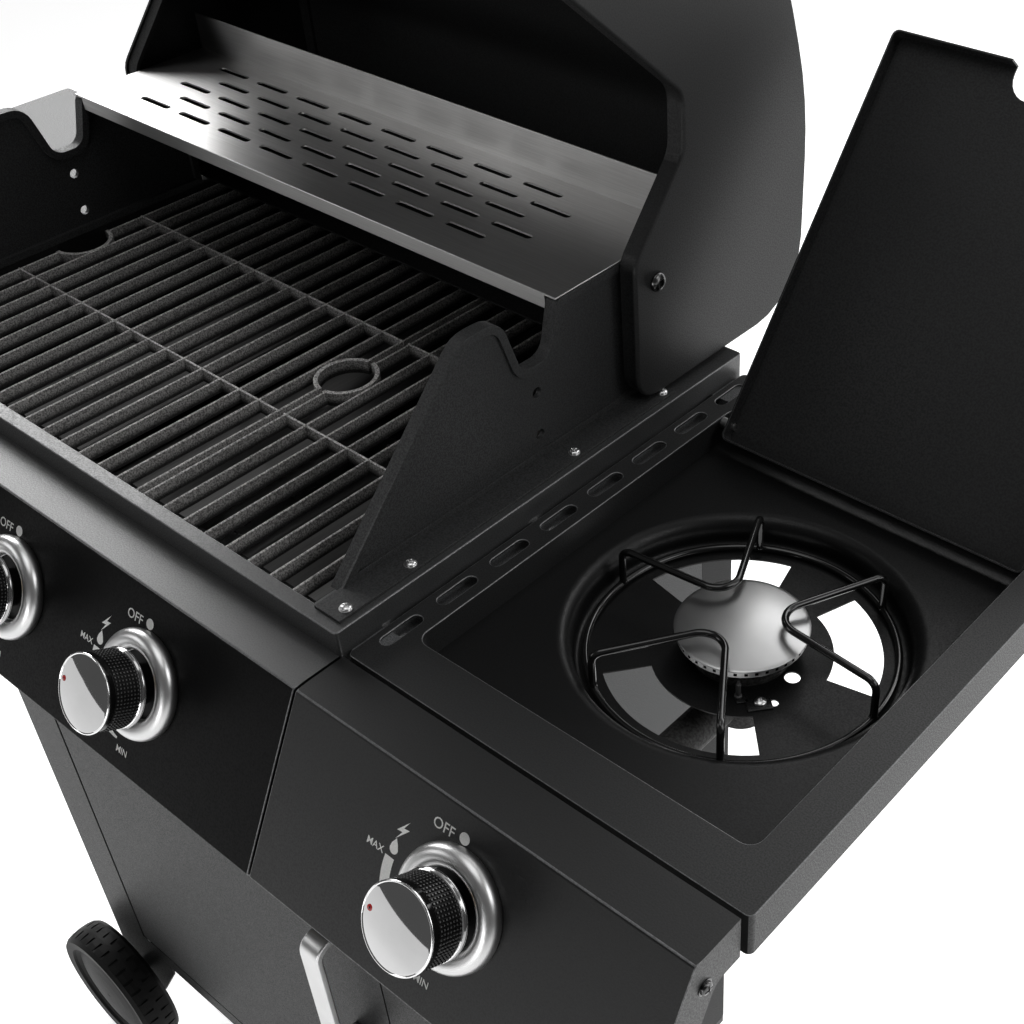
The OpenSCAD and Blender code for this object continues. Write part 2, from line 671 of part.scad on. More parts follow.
// A plate on the panel with a thick round ring under the knob's flange
module knob_bezels() color("silver") for (x = all_knob_x) at_knob(x) {
    tube_r = 7.2;
    tube_at = bezel_r - tube_r;
    tube_z = knob_foot - knob_push - tube_r - 0.1;
    rotate_extrude($fn = 72) polygon(concat(
        [[stem_r + 6, 0], [tube_at + tube_r * 0.77, 0]],
        [for (a = [-36 : 18 : 216]) [tube_at + tube_r * cos(a), tube_z + tube_r * sin(a)]],
        [[tube_at - tube_r * 0.77, 1.2], [stem_r + 6, 1.2]]));
}

// ---------- Control panels ----------

panel_foot = [panel_y0 - panel_face * sin(panel_tilt), -panel_face * cos(panel_tilt)];

end_w = 34;
end_bend = [panel_y0 + end_w - table_edge * tan(panel_tilt), -table_edge];

// The ends are one band along the face and the top, rounded where it turns
function panel_section(back) = [
    [front_y + back, T, 0], [front_y + panel_y0, T, 3],
    [front_y + panel_foot[0], T + panel_foot[1], 2], [front_y + panel_foot[0] + end_w, T + panel_foot[1], 0],
    [front_y + min(end_bend[0], back - 1), T + end_bend[1], back > end_bend[0] + 12 ? 10 : 0],
    [front_y + back, T - table_edge, 0]];

// Folded panel with closed ends, open at the back, and a hole for each valve
module panel(x, back, knobs) difference() {
    along_x(x) shape(panel_section(back));
    along_x([x[0] + sheet, x[1] - sheet]) {
        shape(inset(panel_section(back), sheet));
        polygon([[front_y + back + 1, T - sheet], [front_y + back - 6, T - sheet],
                 [front_y + panel_foot[0] + 30, T + panel_foot[1] + sheet],
                 [front_y + panel_foot[0] + 40, T + panel_foot[1] - 1],
                 [front_y + back + 1, T - table_edge - 9]]);
    }
    for (k = knobs) at_knob(k) translate([0, 0, -5]) cylinder(r = stem_r + 6, h = 10);
}

module control_panel() color("black") panel([-half_w, half_w], -4, knob_x);
module side_control_panel() color("black") panel([table_x0, table_x1 - 4], 0, [side_knob_x]);
module left_fascia() color("black") mirror([1, 0, 0]) panel([table_x0, table_x1 - 4], 0, []);

// ---------- Side tables ----------

table_outline = rect([table_x0, table_x1], [front_y, front_y + table_d], 4);
recess_outline = rect([recess_x0, recess_x1], [recess_y0, recess_y1], 9);

// Brackets under both tables, and a shelf that carries the slotted strip on two screws
module table_brackets() color("dimgray") {
    rail_y = [front_y + 32, front_y + table_d - 37];
    both_sides() for (y = [front_y + 5, front_y + table_d - 36]) {
        block([half_w, table_x1 - sheet], [y, y + 26], [T - sheet * 2, T - sheet]);
        block([half_w, table_x1 - sheet], [y, y + sheet], [T - table_edge + 4, T - sheet * 2]);
    }
    difference() {
        union() {
            block([half_w, recess_x0 - sheet], rail_y, [T - 11, T - 11 + sheet]);
            block([half_w, half_w + sheet], rail_y, [T - recess_d, T - 11]);
        }
        for (y = [front_y + 38, front_y + 173]) rod_z(half_w + 11, y, [T - 14, T - 8], 4.5);
    }
}

module left_shelf() color("dimgray") mirror([1, 0, 0]) {
    translate([0, 0, T - sheet]) linear_extrude(sheet) shape(table_outline);
    difference() {
        translate([0, 0, T - table_edge]) linear_extrude(table_edge - sheet) band(table_outline, sheet);
        block([table_x0 - 1, table_x0 + 30], [front_y + sheet, front_y + table_d - sheet], [T - 60, T - sheet]);
    }
}

// Table with a slotted strip along the firebox and a recess for the side burner
module side_table() color("dimgray") {
    rail_slots = 8;
    slot_step = 47;
    difference() {
        translate([0, 0, T - sheet]) linear_extrude(sheet) shape(table_outline);
        translate([0, 0, T - 5]) linear_extrude(9) shape(recess_outline);
        for (i = [0 : rail_slots - 1])
            translate([table_x0 + 10, front_y + 35 + i * slot_step, T - 5]) rotate([0, 0, 90])
                linear_extrude(9) polygon(slot(0, 0, 32, 9));
    }
    difference() {
        translate([0, 0, T - table_edge]) linear_extrude(table_edge - sheet) band(table_outline, sheet);
        block([table_x0 - 1, table_x0 + 20], [front_y + sheet, front_y + table_d - sheet], [T - 60, T - sheet]);
    }
    translate([0, 0, recess_z]) linear_extrude(recess_d - sheet)
        difference() { shape(inset(recess_outline, -sheet)); shape(recess_outline); }
}

// A triangle that widens from the centre by an angle to each side of X
module wedge(l, half_angle) polygon([[0, 0], [l, -l * tan(half_angle)], [l, l * tan(half_angle)]]);

// Recess floor with the pressed burner well and three air openings round the burner
module side_burner_pan() color("dimgray") {
    t = 1.2;
    lip = 10;
    bend = 4;
    wall_r = well_r - lip;
    air_r = [cap_r + 15.5, trivet_r - 9.5];
    difference() {
        translate([0, 0, recess_z - t]) linear_extrude(t) shape(inset(recess_outline, -sheet));
        rod_z(burner_x, burner_y, [recess_z - 9, recess_z + 9], well_r);
    }
    difference() {
        translate([burner_x, burner_y, well_z]) rotate_extrude($fn = 96) polygon(concat(
            [for (a = [90 : 15 : 180]) [well_r + lip * cos(a), well_d - lip + lip * sin(a)]],
            [for (a = [0 : -30 : -90]) [wall_r - bend + bend * cos(a), bend + bend * sin(a)]],
            [[head_r + 0.3, 0], [head_r + 0.3, -t]],
            [for (a = [-90 : 30 : 0]) [wall_r - bend + (bend + t) * cos(a), bend + (bend + t) * sin(a)]],
            [for (a = [180 : -15 : 90]) [well_r + (lip - t) * cos(a), well_d - lip + (lip - t) * sin(a)]]));
        for (opening = [[41, 30], [137, 32], [-87, 41]])
            translate([burner_x, burner_y, well_z - 5]) rotate([0, 0, opening[0]]) linear_extrude(8)
                difference() {
                    intersection() {
                        circle(r = air_r[1]);
                        wedge(150, opening[1]);
                    }
                    circle(r = air_r[0]);
                }
        for (hole = [[40, 0, 5.2], [44.1, -25.1, 3]])
            rod_z(burner_x + hole[0], burner_y + hole[1], [well_z - 5, well_z + 5], hole[2]);
    }
}

// ---------- Side burner ----------

head_r = 24;
cap_z = recess_z + 1;

// Burner head with a ring of ports, a stem through the well and a tube to its gas jet
module side_burner_head() color("gray") {
    ports = 28;
    ring = cap_r - 5;
    difference() {
        union() {
            translate([burner_x, burner_y, well_z]) rotate_extrude() polygon([
                [0, 3], [0, -30], [head_r - 8, -38], [head_r, -30], [head_r, 0], [head_r + 9, 0],
                [head_r + 9, 3], [head_r + 1, 5], [ring - 3, cap_z - well_z - 8], [ring, cap_z - well_z - 7],
                [ring, cap_z - well_z], [ring - 4, cap_z - well_z], [ring - 4, cap_z - well_z - 6],
                [head_r - 4, 8], [0, 6]]);
            rod_y(side_knob_x, [tub_y0 - 10, burner_y], burner_z, burner_r);
            rod_z(burner_x, burner_y, [burner_z - burner_r, well_z - 20], head_r - 6);
        }
        rod_y(side_knob_x, [tub_y0 - 11, burner_y - 20], burner_z, burner_r - 1.2);
        for (i = [0 : ports - 1]) translate([burner_x, burner_y, cap_z - 4]) rotate([0, 0, i * 360 / ports])
            translate([ring - 6, -1.2, 0]) cube([9, 2.4, 2.6]);
    }
}

// Pressed cap, slightly domed, that sits on the head's ring
module side_burner_cap() color("silver") translate([burner_x, burner_y, cap_z]) rotate_extrude($fn = 72)
    polygon(concat(
        [[0, 3], [cap_r - 9.4, 0], [cap_r - 3, 0], [cap_r, 0.6]],
        [for (a = [0 : 0.25 : 1]) [cap_r * (1 - a), 1.2 + 3.2 * (1 - pow(1 - a, 2))]]));

// Spark electrode: a rod under the cap's rim, on a bracket that one screw holds to the well
module side_electrode() color("silver") translate([burner_x, burner_y, well_z]) {
    rod_z(24.1, -35.2, [0, 14], 1.6);
    translate([37.5, -31.9, 0]) rotate([0, 0, 49]) {
        linear_extrude(1.2) {
            shape(rect([-8, 8], [-6, 4.5], 1.5));
            shape(rect([-13.5, -6], [2, 10.5], 1));
        }
        translate([1, 0, 1.2]) rotate_extrude() polygon([[0, 0], [4, 0], [4, 1.2], [2.4, 2.4], [0, 2.6]]);
    }
}

// Bent-wire pan support: a ring and three V-shaped loops, each on two posts
module pan_support() color("black") {
    ring_z = well_z + wire_r;
    top_z = T - 8 - wire_r;
    bend = 7;
    nose = 15;
    apex = 42;
    post = trivet_r * [cos(30), sin(30)];
    lean = atan2(post[1] - nose, post[0] - apex);
    half_loop = concat(
        [[post[0], post[1], ring_z], [post[0], post[1], top_z - bend]],
        [for (a = [30 : 30 : 90]) let (d = bend * (1 - cos(a)))
            [post[0] - d * cos(lean), post[1] - d * sin(lean), top_z - bend + bend * sin(a)]],
        [for (a = [90 + lean : 15 : 165]) [apex + nose * cos(a), nose * sin(a), top_z]],
        [[apex - nose, 0, top_z]]);
    n = len(half_loop);
    loop = concat(half_loop, [for (i = [n - 2 : -1 : 0]) [half_loop[i][0], -half_loop[i][1], half_loop[i][2]]]);
    translate([burner_x, burner_y, 0]) {
        translate([0, 0, ring_z]) rotate_extrude($fn = 72) translate([trivet_r, 0]) circle(r = wire_r, $fn = 16);
        for (a = [30, 150, 270]) rotate([0, 0, a]) wire(loop, wire_r);
    }
}

// A pin through each side of the lid, with a spacer between the lid and the recess wall
module lid_hinge_pins() color("silver") {
    y = front_y + lid_pivot_y;
    z = T + lid_pivot_z;
    rod_x([recess_x0, lid_x0 + 2.5], y, z, 2.5);
    rod_x([recess_x0, lid_x0 - 0.3], y, z, 4);
    rod_x([lid_x1 - 2.5, recess_x1], y, z, 2.5);
    rod_x([lid_x1 + 0.3, recess_x1], y, z, 4);
}

// Lid over the side burner: a folded tray with a finger cut-out in its free edge
module side_lid() color("dimgray")
    translate([0, front_y + lid_pivot_y, T + lid_pivot_z]) rotate([pose_lid, 0, 0]) {
        t = 1.2;
        outline = rect([lid_x0, lid_x1], [-lid_arm, lid_tail], 5);
        mid = (lid_x0 + lid_x1) / 2;
        difference() {
            union() {
                translate([0, 0, lid_skin - t]) linear_extrude(t) shape(outline);
                translate([0, 0, lid_skin - lid_edge]) linear_extrude(lid_edge - t) band(outline, t);
            }
            translate([0, 0, lid_skin - lid_edge - 1]) linear_extrude(lid_edge + 2)
                shape([[mid - 29, -lid_arm - 5, 0], [mid + 29, -lid_arm - 5, 0],
                       [mid + 29, -lid_arm + 22, 16], [mid - 29, -lid_arm + 22, 16]]);
            for (x = [lid_x0, lid_x1]) rod_x([x - 3, x + 3], 0, 0, 2.5 + fit);
        }
    }

// ---------- Hood ----------

hood_x = half_w - 10;
hood_back = pivot_y + 90;
hood_lip = 22;
side_t = 3;
hood_outline = [
    [8, hood_lip, 3], [82, hood_lip, 10], [186, 142, 18], [228, 142, 20], [288, 90, 20],
    [hood_back, 90, 20], [hood_back, hood_top, 55], [235, hood_top, 280],
    [130, hood_top - 35, 180], [8, hood_top - 145, 95]];

// Children are drawn closed, with Y from the tables' front edge and Z from their tops
module raised() translate([0, front_y + pivot_y, T + pivot_z]) rotate([pose_hood, 0, 0])
    translate([0, -pivot_y, -pivot_z]) children();

module hood_shell() color("black") raised() difference() {
    along_x([-hood_x + side_t, hood_x - side_t]) difference() {
        band(hood_outline, sheet);
        polygon([
            [8 + sheet, 0], [hood_back + 5, 0], [hood_back + 5, pivot_z + 15], [hood_back - 10, pivot_z + 15],
            [hood_back - 10, 155], [60, 155], [60, 80], [8 + sheet, 80]]);
    }
    thermometer_at(-3) cylinder(r = 5, h = 9);
}

// Cast end of the hood: a flat plate with a rim folded in along its whole edge
module hood_side() raised() difference() {
    union() {
        along_x([hood_x - side_t, hood_x]) shape(hood_outline);
        along_x([hood_x - 15, hood_x - side_t]) band(inset(hood_outline, sheet), side_t);
    }
    rod_x([hood_x - 9, hood_x + 1], pivot_y, pivot_z, hood_bolt_r + fit);
}

module hood_side_left() color("black") mirror([1, 0, 0]) hood_side();
module hood_side_right() color("black") hood_side();

module hood_bolts() color("silver") both_sides()
    translate([0, front_y + pivot_y, T + pivot_z]) rotate([0, 90, 0]) {
        translate([0, 0, tub_x - 5]) cylinder(r = hood_bolt_r, h = hood_x + 1 - tub_x + 5);
        translate([0, 0, hood_x + 0.4]) rotate_extrude() polygon([
            [0, 0], [hood_bolt_r + 3, 0], [hood_bolt_r + 3, 1.5], [hood_bolt_r + 1, 3.4], [0, 4.4]]);
    }

handle_y = -42;
handle_up = 76;

module hood_handle() color("silver") raised() {
    rod_x([-handle_len / 2, handle_len / 2], handle_y, handle_up, handle_r);
    both_sides() {
        rod_y(handle_len / 2 - 40, [handle_y, 8], handle_up, 8);
        rod_x([handle_len / 2, handle_len / 2 + 5], handle_y, handle_up, handle_r + 1.5);
    }
}

// Middle of the sloping stretch of the hood, +Z out of its skin
slope_a = atan2(110, 122);
module thermometer_at(z) translate([0, 69.7, hood_top - 145 + 61.7 * tan(slope_a)])
    rotate([slope_a, 0, 0]) translate([0, 0, z]) children();

module thermometer() color("silver") raised() {
    thermometer_at(0) rotate_extrude() polygon([
        [0, 0], [32, 0], [33, 3], [30, 7], [27.5, 7], [27, 5], [0, 5]]);
    thermometer_at(-34) cylinder(r = 4, h = 34);
}

// ---------- Grease tray ----------

tray_x = drain_x - 28;
tray_z = [tub_floor - 27, tub_floor - 3];

module tray_rails() color("dimgray") both_sides() {
    y = [tub_y0 + 90, tub_y1];
    block([tray_x + 0.5, tray_x + 0.5 + sheet], y, [tray_z[0] - sheet, tub_floor]);
    block([tray_x - 10, tray_x + 0.5], y, [tray_z[0] - sheet, tray_z[0]]);
}

module grease_tray() color("silver") difference() {
    block([-tray_x, tray_x], [tub_y0 + 90, tub_y1], tray_z);
    block([-tray_x + sheet, tray_x - sheet], [tub_y0 + 90 + sheet, tub_y1 - sheet],
          [tray_z[0] + sheet, tray_z[1] + 1]);
}

leg_front_left();
leg_front_right();
leg_rear_left();
leg_rear_right();
feet();
bottom_shelf();
side_panel_left();
side_panel_right();
front_header();
rear_brace();
axle();
firebox_tub();
base_frame();
firebox_wall_left();
firebox_wall_right();
flange_screws();
grate_left();
grate_right();
warming_rack();
heat_tents();
burner_1();
burner_2();
burner_3();
gas_manifold();
gas_valves();
control_panel();
side_control_panel();
left_fascia();
knob_bezels();
table_brackets();
left_shelf();
side_table();
side_burner_pan();
side_burner_head();
side_burner_cap();
side_electrode();
pan_support();
lid_hinge_pins();
side_lid();
hood_shell();
hood_side_left();
hood_side_right();
hood_handle();
thermometer();
hood_bolts();
door();
door_handle();
door_hinge_pins();
wheel_front();
wheel_rear();
grease_tray();
tray_rails();
knob_1();
knob_2();
knob_3();
knob_4();
valve_stem_1();
valve_stem_2();
valve_stem_3();
valve_stem_4();
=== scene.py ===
import json
import math
import bmesh
import bpy
from mathutils import Matrix, Quaternion, Vector


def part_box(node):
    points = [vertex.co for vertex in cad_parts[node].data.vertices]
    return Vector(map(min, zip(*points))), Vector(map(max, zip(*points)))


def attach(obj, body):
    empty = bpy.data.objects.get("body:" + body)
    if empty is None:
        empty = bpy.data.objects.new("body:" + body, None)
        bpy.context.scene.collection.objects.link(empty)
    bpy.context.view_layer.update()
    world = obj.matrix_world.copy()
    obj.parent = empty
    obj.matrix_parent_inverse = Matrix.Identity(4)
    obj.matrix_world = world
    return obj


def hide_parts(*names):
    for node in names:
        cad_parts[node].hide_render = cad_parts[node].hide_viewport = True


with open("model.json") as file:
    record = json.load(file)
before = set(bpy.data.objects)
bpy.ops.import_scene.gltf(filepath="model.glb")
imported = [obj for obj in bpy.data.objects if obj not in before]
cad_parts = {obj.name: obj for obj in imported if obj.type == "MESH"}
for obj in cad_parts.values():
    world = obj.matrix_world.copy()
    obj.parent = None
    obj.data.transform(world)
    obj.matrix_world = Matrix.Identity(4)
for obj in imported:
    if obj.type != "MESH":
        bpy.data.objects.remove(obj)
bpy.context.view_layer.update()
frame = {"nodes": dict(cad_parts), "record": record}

# Sizes repeated from the part's source. Those with MM or UM are in metres; the other radii, profiles and
# outlines in this file are in millimetres, and mm() takes them to metres.
MM = 0.001
UM = 0.000001
T = 930 * MM                                    # top of the tables
FRAME_TOP = T + 17.4 * MM                       # top of the frame round the firebox
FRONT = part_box("side_table")[0][1]              # front edge of the tables
TILT = math.radians(28.7)                       # slope of the panels' faces
PANEL_TOP = 35 * MM                             # flat strip between the panels' ridge and the tables
RIDGE = Vector((0, FRONT - (PANEL_TOP + 4 * MM), T))
KNOBS = [(171, 61), (20, 61), (-131, 61), (453.5, 56)]  # x, and distance down the slope from the ridge
BURNER = Vector((458.5 * MM, FRONT + 186 * MM, 888 * MM))  # middle of the side burner, on its well's floor
CAP_R = 43.5                                    # side burner's cap
CAP_Z = 909 * MM
WIRE_R = 2.5                                    # side burner's wire support: its wire and its ring
TRIVET_R = 100
LOOP_DROP = 8                                   # from the table's top down to the loops' top


# ---------- Materials ----------

M = {}                                          # materials by name


class Nodes:
    """A new material, kept by name in M, with short calls for the nodes used here."""

    def __init__(self, name):
        self.mat = M[name] = bpy.data.materials.new(name)
        self.mat.use_nodes = True
        self.tree = self.mat.node_tree
        self.shader = self.tree.nodes["Principled BSDF"]
        self.where = self.add("ShaderNodeTexCoord").outputs["Object"]

    def add(self, kind, operation=None, **inputs):
        node = self.tree.nodes.new(kind)
        if operation:
            node.operation = operation
        for key, value in inputs.items():
            node.inputs[key.replace("_", " ")].default_value = value
        return node

    def link(self, a, b):
        self.tree.links.new(a, b)

    def stretched(self, x, y, z):
        node = self.add("ShaderNodeMapping", Scale=(x, y, z))
        self.link(self.where, node.inputs["Vector"])
        return node.outputs["Vector"]

    def noise(self, scale, detail=3.0, vector=None):
        node = self.add("ShaderNodeTexNoise", Scale=scale, Detail=detail)
        self.link(vector or self.where, node.inputs["Vector"])
        return node.outputs["Fac"]

    def spread(self, value, low, high, start=0.3, end=0.7):
        """Maps start to end of a value onto low to high."""
        node = self.add("ShaderNodeMapRange", From_Min=start, From_Max=end, To_Min=low, To_Max=high)
        self.link(value, node.inputs["Value"])
        return node.outputs["Result"]

    def ramp(self, value, dark, light, start=0.35, end=0.65):
        node = self.add("ShaderNodeValToRGB")
        first, last = node.color_ramp.elements
        first.position, last.position = start, end
        first.color, last.color = (*dark, 1), (*light, 1)
        self.link(value, node.inputs["Fac"])
        return node.outputs["Color"]

    def bump(self, value, depth):
        node = self.add("ShaderNodeBump", Distance=depth, Strength=1.0)
        self.link(value, node.inputs["Height"])
        return node.outputs["Normal"]

    def finish(self, colour, rough, normal, **numbers):
        for socket, key in ((colour, "Base Color"), (rough, "Roughness"), (normal, "Normal")):
            self.link(socket, self.shader.inputs[key])
        for key, value in numbers.items():
            self.shader.inputs[key.replace("_", " ")].default_value = value


def grey(v, warm=0.0):
    return (v * (1 + warm), v, v * (1 - warm))


def coat(name, tone, rough, grain=40 * UM, size=1500, specular=0.35):
    """Powder coat: a fine grain that sparkles and changes tone and gloss."""
    cool = -0.02
    n = Nodes(name)
    fine = n.noise(size, 2)
    n.finish(
        n.ramp(fine, grey(tone * 0.6, cool), grey(tone * 1.5, cool), 0.38, 0.62),
        n.spread(fine, rough + 0.12, rough - 0.10, 0.36, 0.64),
        n.bump(fine, grain),
        Specular_IOR_Level=specular)


def cast(name, tone, rough, pit=250 * UM, size=420, painted_shade=None):
    """Cast iron or cast aluminium under enamel: pitted and speckled, and darkened with painted shade below the
    second height.
    """
    warm = 0.02
    n = Nodes(name)
    pits = n.noise(size, 5)
    specks = n.noise(size * 1.3, 2)
    colour = n.ramp(specks, grey(tone * 0.5, warm), grey(tone * 1.7, warm), 0.38, 0.62)
    # Painted shade: the colour falls to 6% from the second height down to the first.
    if painted_shade:
        split = n.add("ShaderNodeSeparateXYZ")
        dim = n.add("ShaderNodeVectorMath", "SCALE")
        n.link(n.where, split.inputs[0])
        n.link(colour, dim.inputs[0])
        n.link(n.spread(split.outputs["Z"], 0.06, 1.0, *painted_shade), dim.inputs["Scale"])
        colour = dim.outputs[0]
    n.finish(
        colour,
        n.spread(pits, rough - 0.12, rough + 0.12),
        n.bump(pits, pit),
        Specular_IOR_Level=0.4)


def metal(name, tone, rough, scratch=0.4 * UM, size=700, warm=0.0):
    """Bare metal: slow changes of tone and gloss, and very fine marks."""
    n = Nodes(name)
    n.finish(
        n.ramp(n.noise(40, 3), grey(tone * 0.94, warm), grey(tone, warm)),
        n.spread(n.noise(22, 3), rough * 0.92, rough * 1.1),
        n.bump(n.noise(size, 3), scratch),
        Metallic=1.0)


def brushed(name, tone, rough, along=(1, 60, 60)):
    """Stainless steel with brush marks that the noise's stretch draws along one axis."""
    warm = 0.01
    n = Nodes(name)
    lines = n.noise(26, 5, n.stretched(*along))
    clouds = n.noise(6, 3)
    tangent = n.add("ShaderNodeTangent")
    tangent.direction_type, tangent.axis = "RADIAL", "X"
    n.link(tangent.outputs[0], n.shader.inputs["Tangent"])
    n.finish(
        n.ramp(lines, grey(tone * 0.86, warm), grey(tone, warm)),
        n.spread(clouds, rough * 0.9, rough * 1.12),
        n.bump(lines, 4 * UM),
        Metallic=1.0, Anisotropic=0.8)


def plastic(name, tone, rough, grain=20 * UM, specular=0.4):
    """Moulded plastic, gloss enamel or soot, by its gloss."""
    n = Nodes(name)
    n.finish(
        n.ramp(n.noise(35, 4), grey(tone * 0.85), grey(tone * 1.15)),
        n.spread(n.noise(14), rough - 0.05, rough + 0.07),
        n.bump(n.noise(1100, 2), grain),
        Specular_IOR_Level=specular)


def ink(name, colour, rough=0.5):
    """Printed paint."""
    n = Nodes(name)
    n.finish(
        n.ramp(n.noise(900, 2), tuple(c * 0.9 for c in colour), colour),
        n.spread(n.noise(300), rough - 0.05, rough + 0.05),
        n.bump(n.noise(1500, 2), 10 * UM))


def powder_coats():
    """Painted and enamelled sheet: tone, roughness, depth and fineness of the grain, specular level."""
    coat("powder_coat", 0.014, 0.42)
    coat("panel_coat", 0.0035, 0.40, 60 * UM, 700, 0.07)
    coat("side_panel_coat", 0.008, 0.38, 50 * UM, 900, 0.38)
    # The main panel's top strip: a lighter copy of the panel coat, a painted highlight.
    coat("strip_highlight_coat", 0.022, 0.38, 90 * UM, 1000, 1.0)
    # Rounded edges and the panels' ridge: a much lighter copy of the coat, a painted highlight line.
    coat("edge_highlight_coat", 0.10, 0.36, 40 * UM, 700, 1.0)
    coat("frame_coat", 0.028, 0.38, 80 * UM, 1000, 0.9)
    coat("table_coat", 0.014, 0.42, 50 * UM, 1000)
    coat("pan_coat", 0.0065, 0.38, 30 * UM, 900, 0.24)
    coat("lid_coat", 0.017, 0.44, 100 * UM, 700)
    coat("door_coat", 0.020, 0.50, specular=0.17)
    coat("pillar_coat", 0.006, 0.45, specular=0.14)
    coat("cabinet_grey", 0.050, 0.48)
    coat("hood_enamel", 0.012, 0.46, 30 * UM, 1000, 0.31)
    coat("wall_cast", 0.026, 0.50, 80 * UM, 900)
    coat("tub_enamel", 0.008, 0.45, 20 * UM, 900)
    coat("bracket_black", 0.008, 0.30)
    coat("bracket_grey", 0.10, 0.50)


def castings():
    """Enamelled castings; the grates' bars are darkened by painted shade below the two heights and full tone
    above.
    """
    cast("cast_iron", 0.27, 0.66, 300 * UM, 620, painted_shade=(T + 2.6 * MM, T + 6.8 * MM))
    # A lighter, glossier copy of the grates' iron for their upward faces: painted highlight.
    cast("cast_lit_tops", 0.42, 0.50, 100 * UM, 620)
    cast("burner_iron", 0.03, 0.7)


def bare_metals():
    """Stainless steel, chrome, zinc, brass and aluminium."""
    brushed("stainless", 0.58, 0.36)
    brushed("tent_steel", 0.15, 0.34, (40, 1, 40))
    metal("bolt_black", 0.10, 0.22)
    metal("chrome", 0.86, 0.055)
    metal("mirror", 0.62, 0.03, 0.3 * UM, 60)
    metal("satin_chrome", 0.68, 0.33)
    metal("dark_chrome", 0.42, 0.12)
    metal("zinc", 0.72, 0.28, 4 * UM, 500)
    metal("brass", 0.55, 0.35, 20 * UM, 400, 0.25)
    metal("cast_aluminium", 0.52, 0.48, 50 * UM, 600)
    metal("satin_aluminium", 0.66, 0.34, 2 * UM, 900)
    metal("cap_steel", 0.50, 0.32)


def plastics():
    """Moulded black plastics, and what is shaded like them: black painted shade, ceramic and gloss enamel."""
    plastic("bush_black", 0.006, 0.40, 8 * UM, 0.25)
    # Black painted onto faces that stand in shade, in gaps and holes: painted shade.
    plastic("painted_shade", 0.003, 0.8, 10 * UM, 0.1)
    plastic("ceramic", 0.06, 0.35)
    plastic("wire_enamel", 0.008, 0.12, 0.4 * UM, 0.6)
    plastic("black_plastic", 0.014, 0.38)
    plastic("grip_plastic", 0.006, 0.35, 6 * UM, 0.3)
    # The knurl's pyramid tips: a lighter copy of the grip plastic, a painted highlight.
    plastic("grip_tip_highlight", 0.13, 0.25, 6 * UM, 0.7)
    plastic("gloss_ring", 0.006, 0.10, 4 * UM, 0.5)
    plastic("tyre", 0.009, 0.55, 60 * UM, 0.16)


def prints():
    """The white print, the dial's and the red dot's inks."""
    ink("print_white", (0.96, 0.96, 0.94))
    ink("dial_face", (0.62, 0.62, 0.60), 0.35)
    ink("dial_print", (0.02, 0.02, 0.02), 0.4)
    ink("print_red", (0.62, 0.02, 0.02), 0.3)


# The CAD nodes that each material dresses. Where a piece of this file stands for a node, the piece has its own.
NODES_OF = {
    "pillar_coat": [
        "leg_front_left", "leg_front_right", "leg_rear_left", "leg_rear_right",
        "bottom_shelf", "front_header", "rear_brace", "tray_rails"],
    "cabinet_grey": ["side_panel_left", "side_panel_right", "door"],
    "powder_coat": ["base_frame", "left_shelf", "side_table", "side_burner_pan", "side_lid"],
    "panel_coat": ["control_panel", "side_control_panel", "left_fascia"],
    "bracket_grey": ["table_brackets"],
    "hood_enamel": ["hood_shell", "hood_side_left", "hood_side_right"],
    "tub_enamel": ["firebox_tub"],
    "wall_cast": ["firebox_wall_left", "firebox_wall_right"],
    "cast_iron": ["grate_left", "grate_right"],
    "burner_iron": ["side_burner_head"],
    "stainless": ["warming_rack", "burner_1", "burner_2", "burner_3"],
    "tent_steel": ["heat_tents"],
    "cap_steel": ["side_burner_cap"],
    "chrome": ["knob_bezels", "thermometer"],
    "satin_aluminium": ["hood_handle", "door_handle"],
    "zinc": [
        "axle", "flange_screws", "gas_manifold", "side_electrode", "lid_hinge_pins",
        "door_hinge_pins", "grease_tray"],
    "brass": ["gas_valves", "valve_stem_1", "valve_stem_2", "valve_stem_3", "valve_stem_4"],
    "wire_enamel": ["pan_support"],
    "black_plastic": ["feet", "hood_bolts", "knob_1", "knob_2", "knob_3", "knob_4"],
    "tyre": ["wheel_front", "wheel_rear"],
}


def dress_frame():
    """Gives each CAD node its material, and smooth shading between its sharp edges."""
    for material, names in NODES_OF.items():
        for name in names:
            mesh = frame["nodes"][name].data
            mesh.materials.clear()
            mesh.materials.append(M[material])
            mesh.shade_smooth()
            mesh.set_sharp_from_angle(angle=math.radians(32))


# ---------- Mesh helpers ----------

BODY_OF = {node: body for body, nodes in frame["record"]["behaviour"]["bodies"].items() for node in nodes}


def mm(x, y, z=0.0):
    """A point given in millimetres."""
    return Vector((x * MM, y * MM, z * MM))


def polar(r, angle):
    """[x, y] at a radius and an angle in radians."""
    return (r * math.cos(angle), r * math.sin(angle))


def arc(cx, cy, r, start, end, steps):
    """Points on an arc, angles in degrees."""
    angles = [math.radians(start + (end - start) * i / steps) for i in range(steps + 1)]
    return [(cx + r * math.cos(a), cy + r * math.sin(a)) for a in angles]


def move(at):
    """A shift, in metres."""
    return Matrix.Translation(at)


def spin(degrees, axis, size=4):
    """A turn about an axis."""
    return Matrix.Rotation(math.radians(degrees), size, axis)


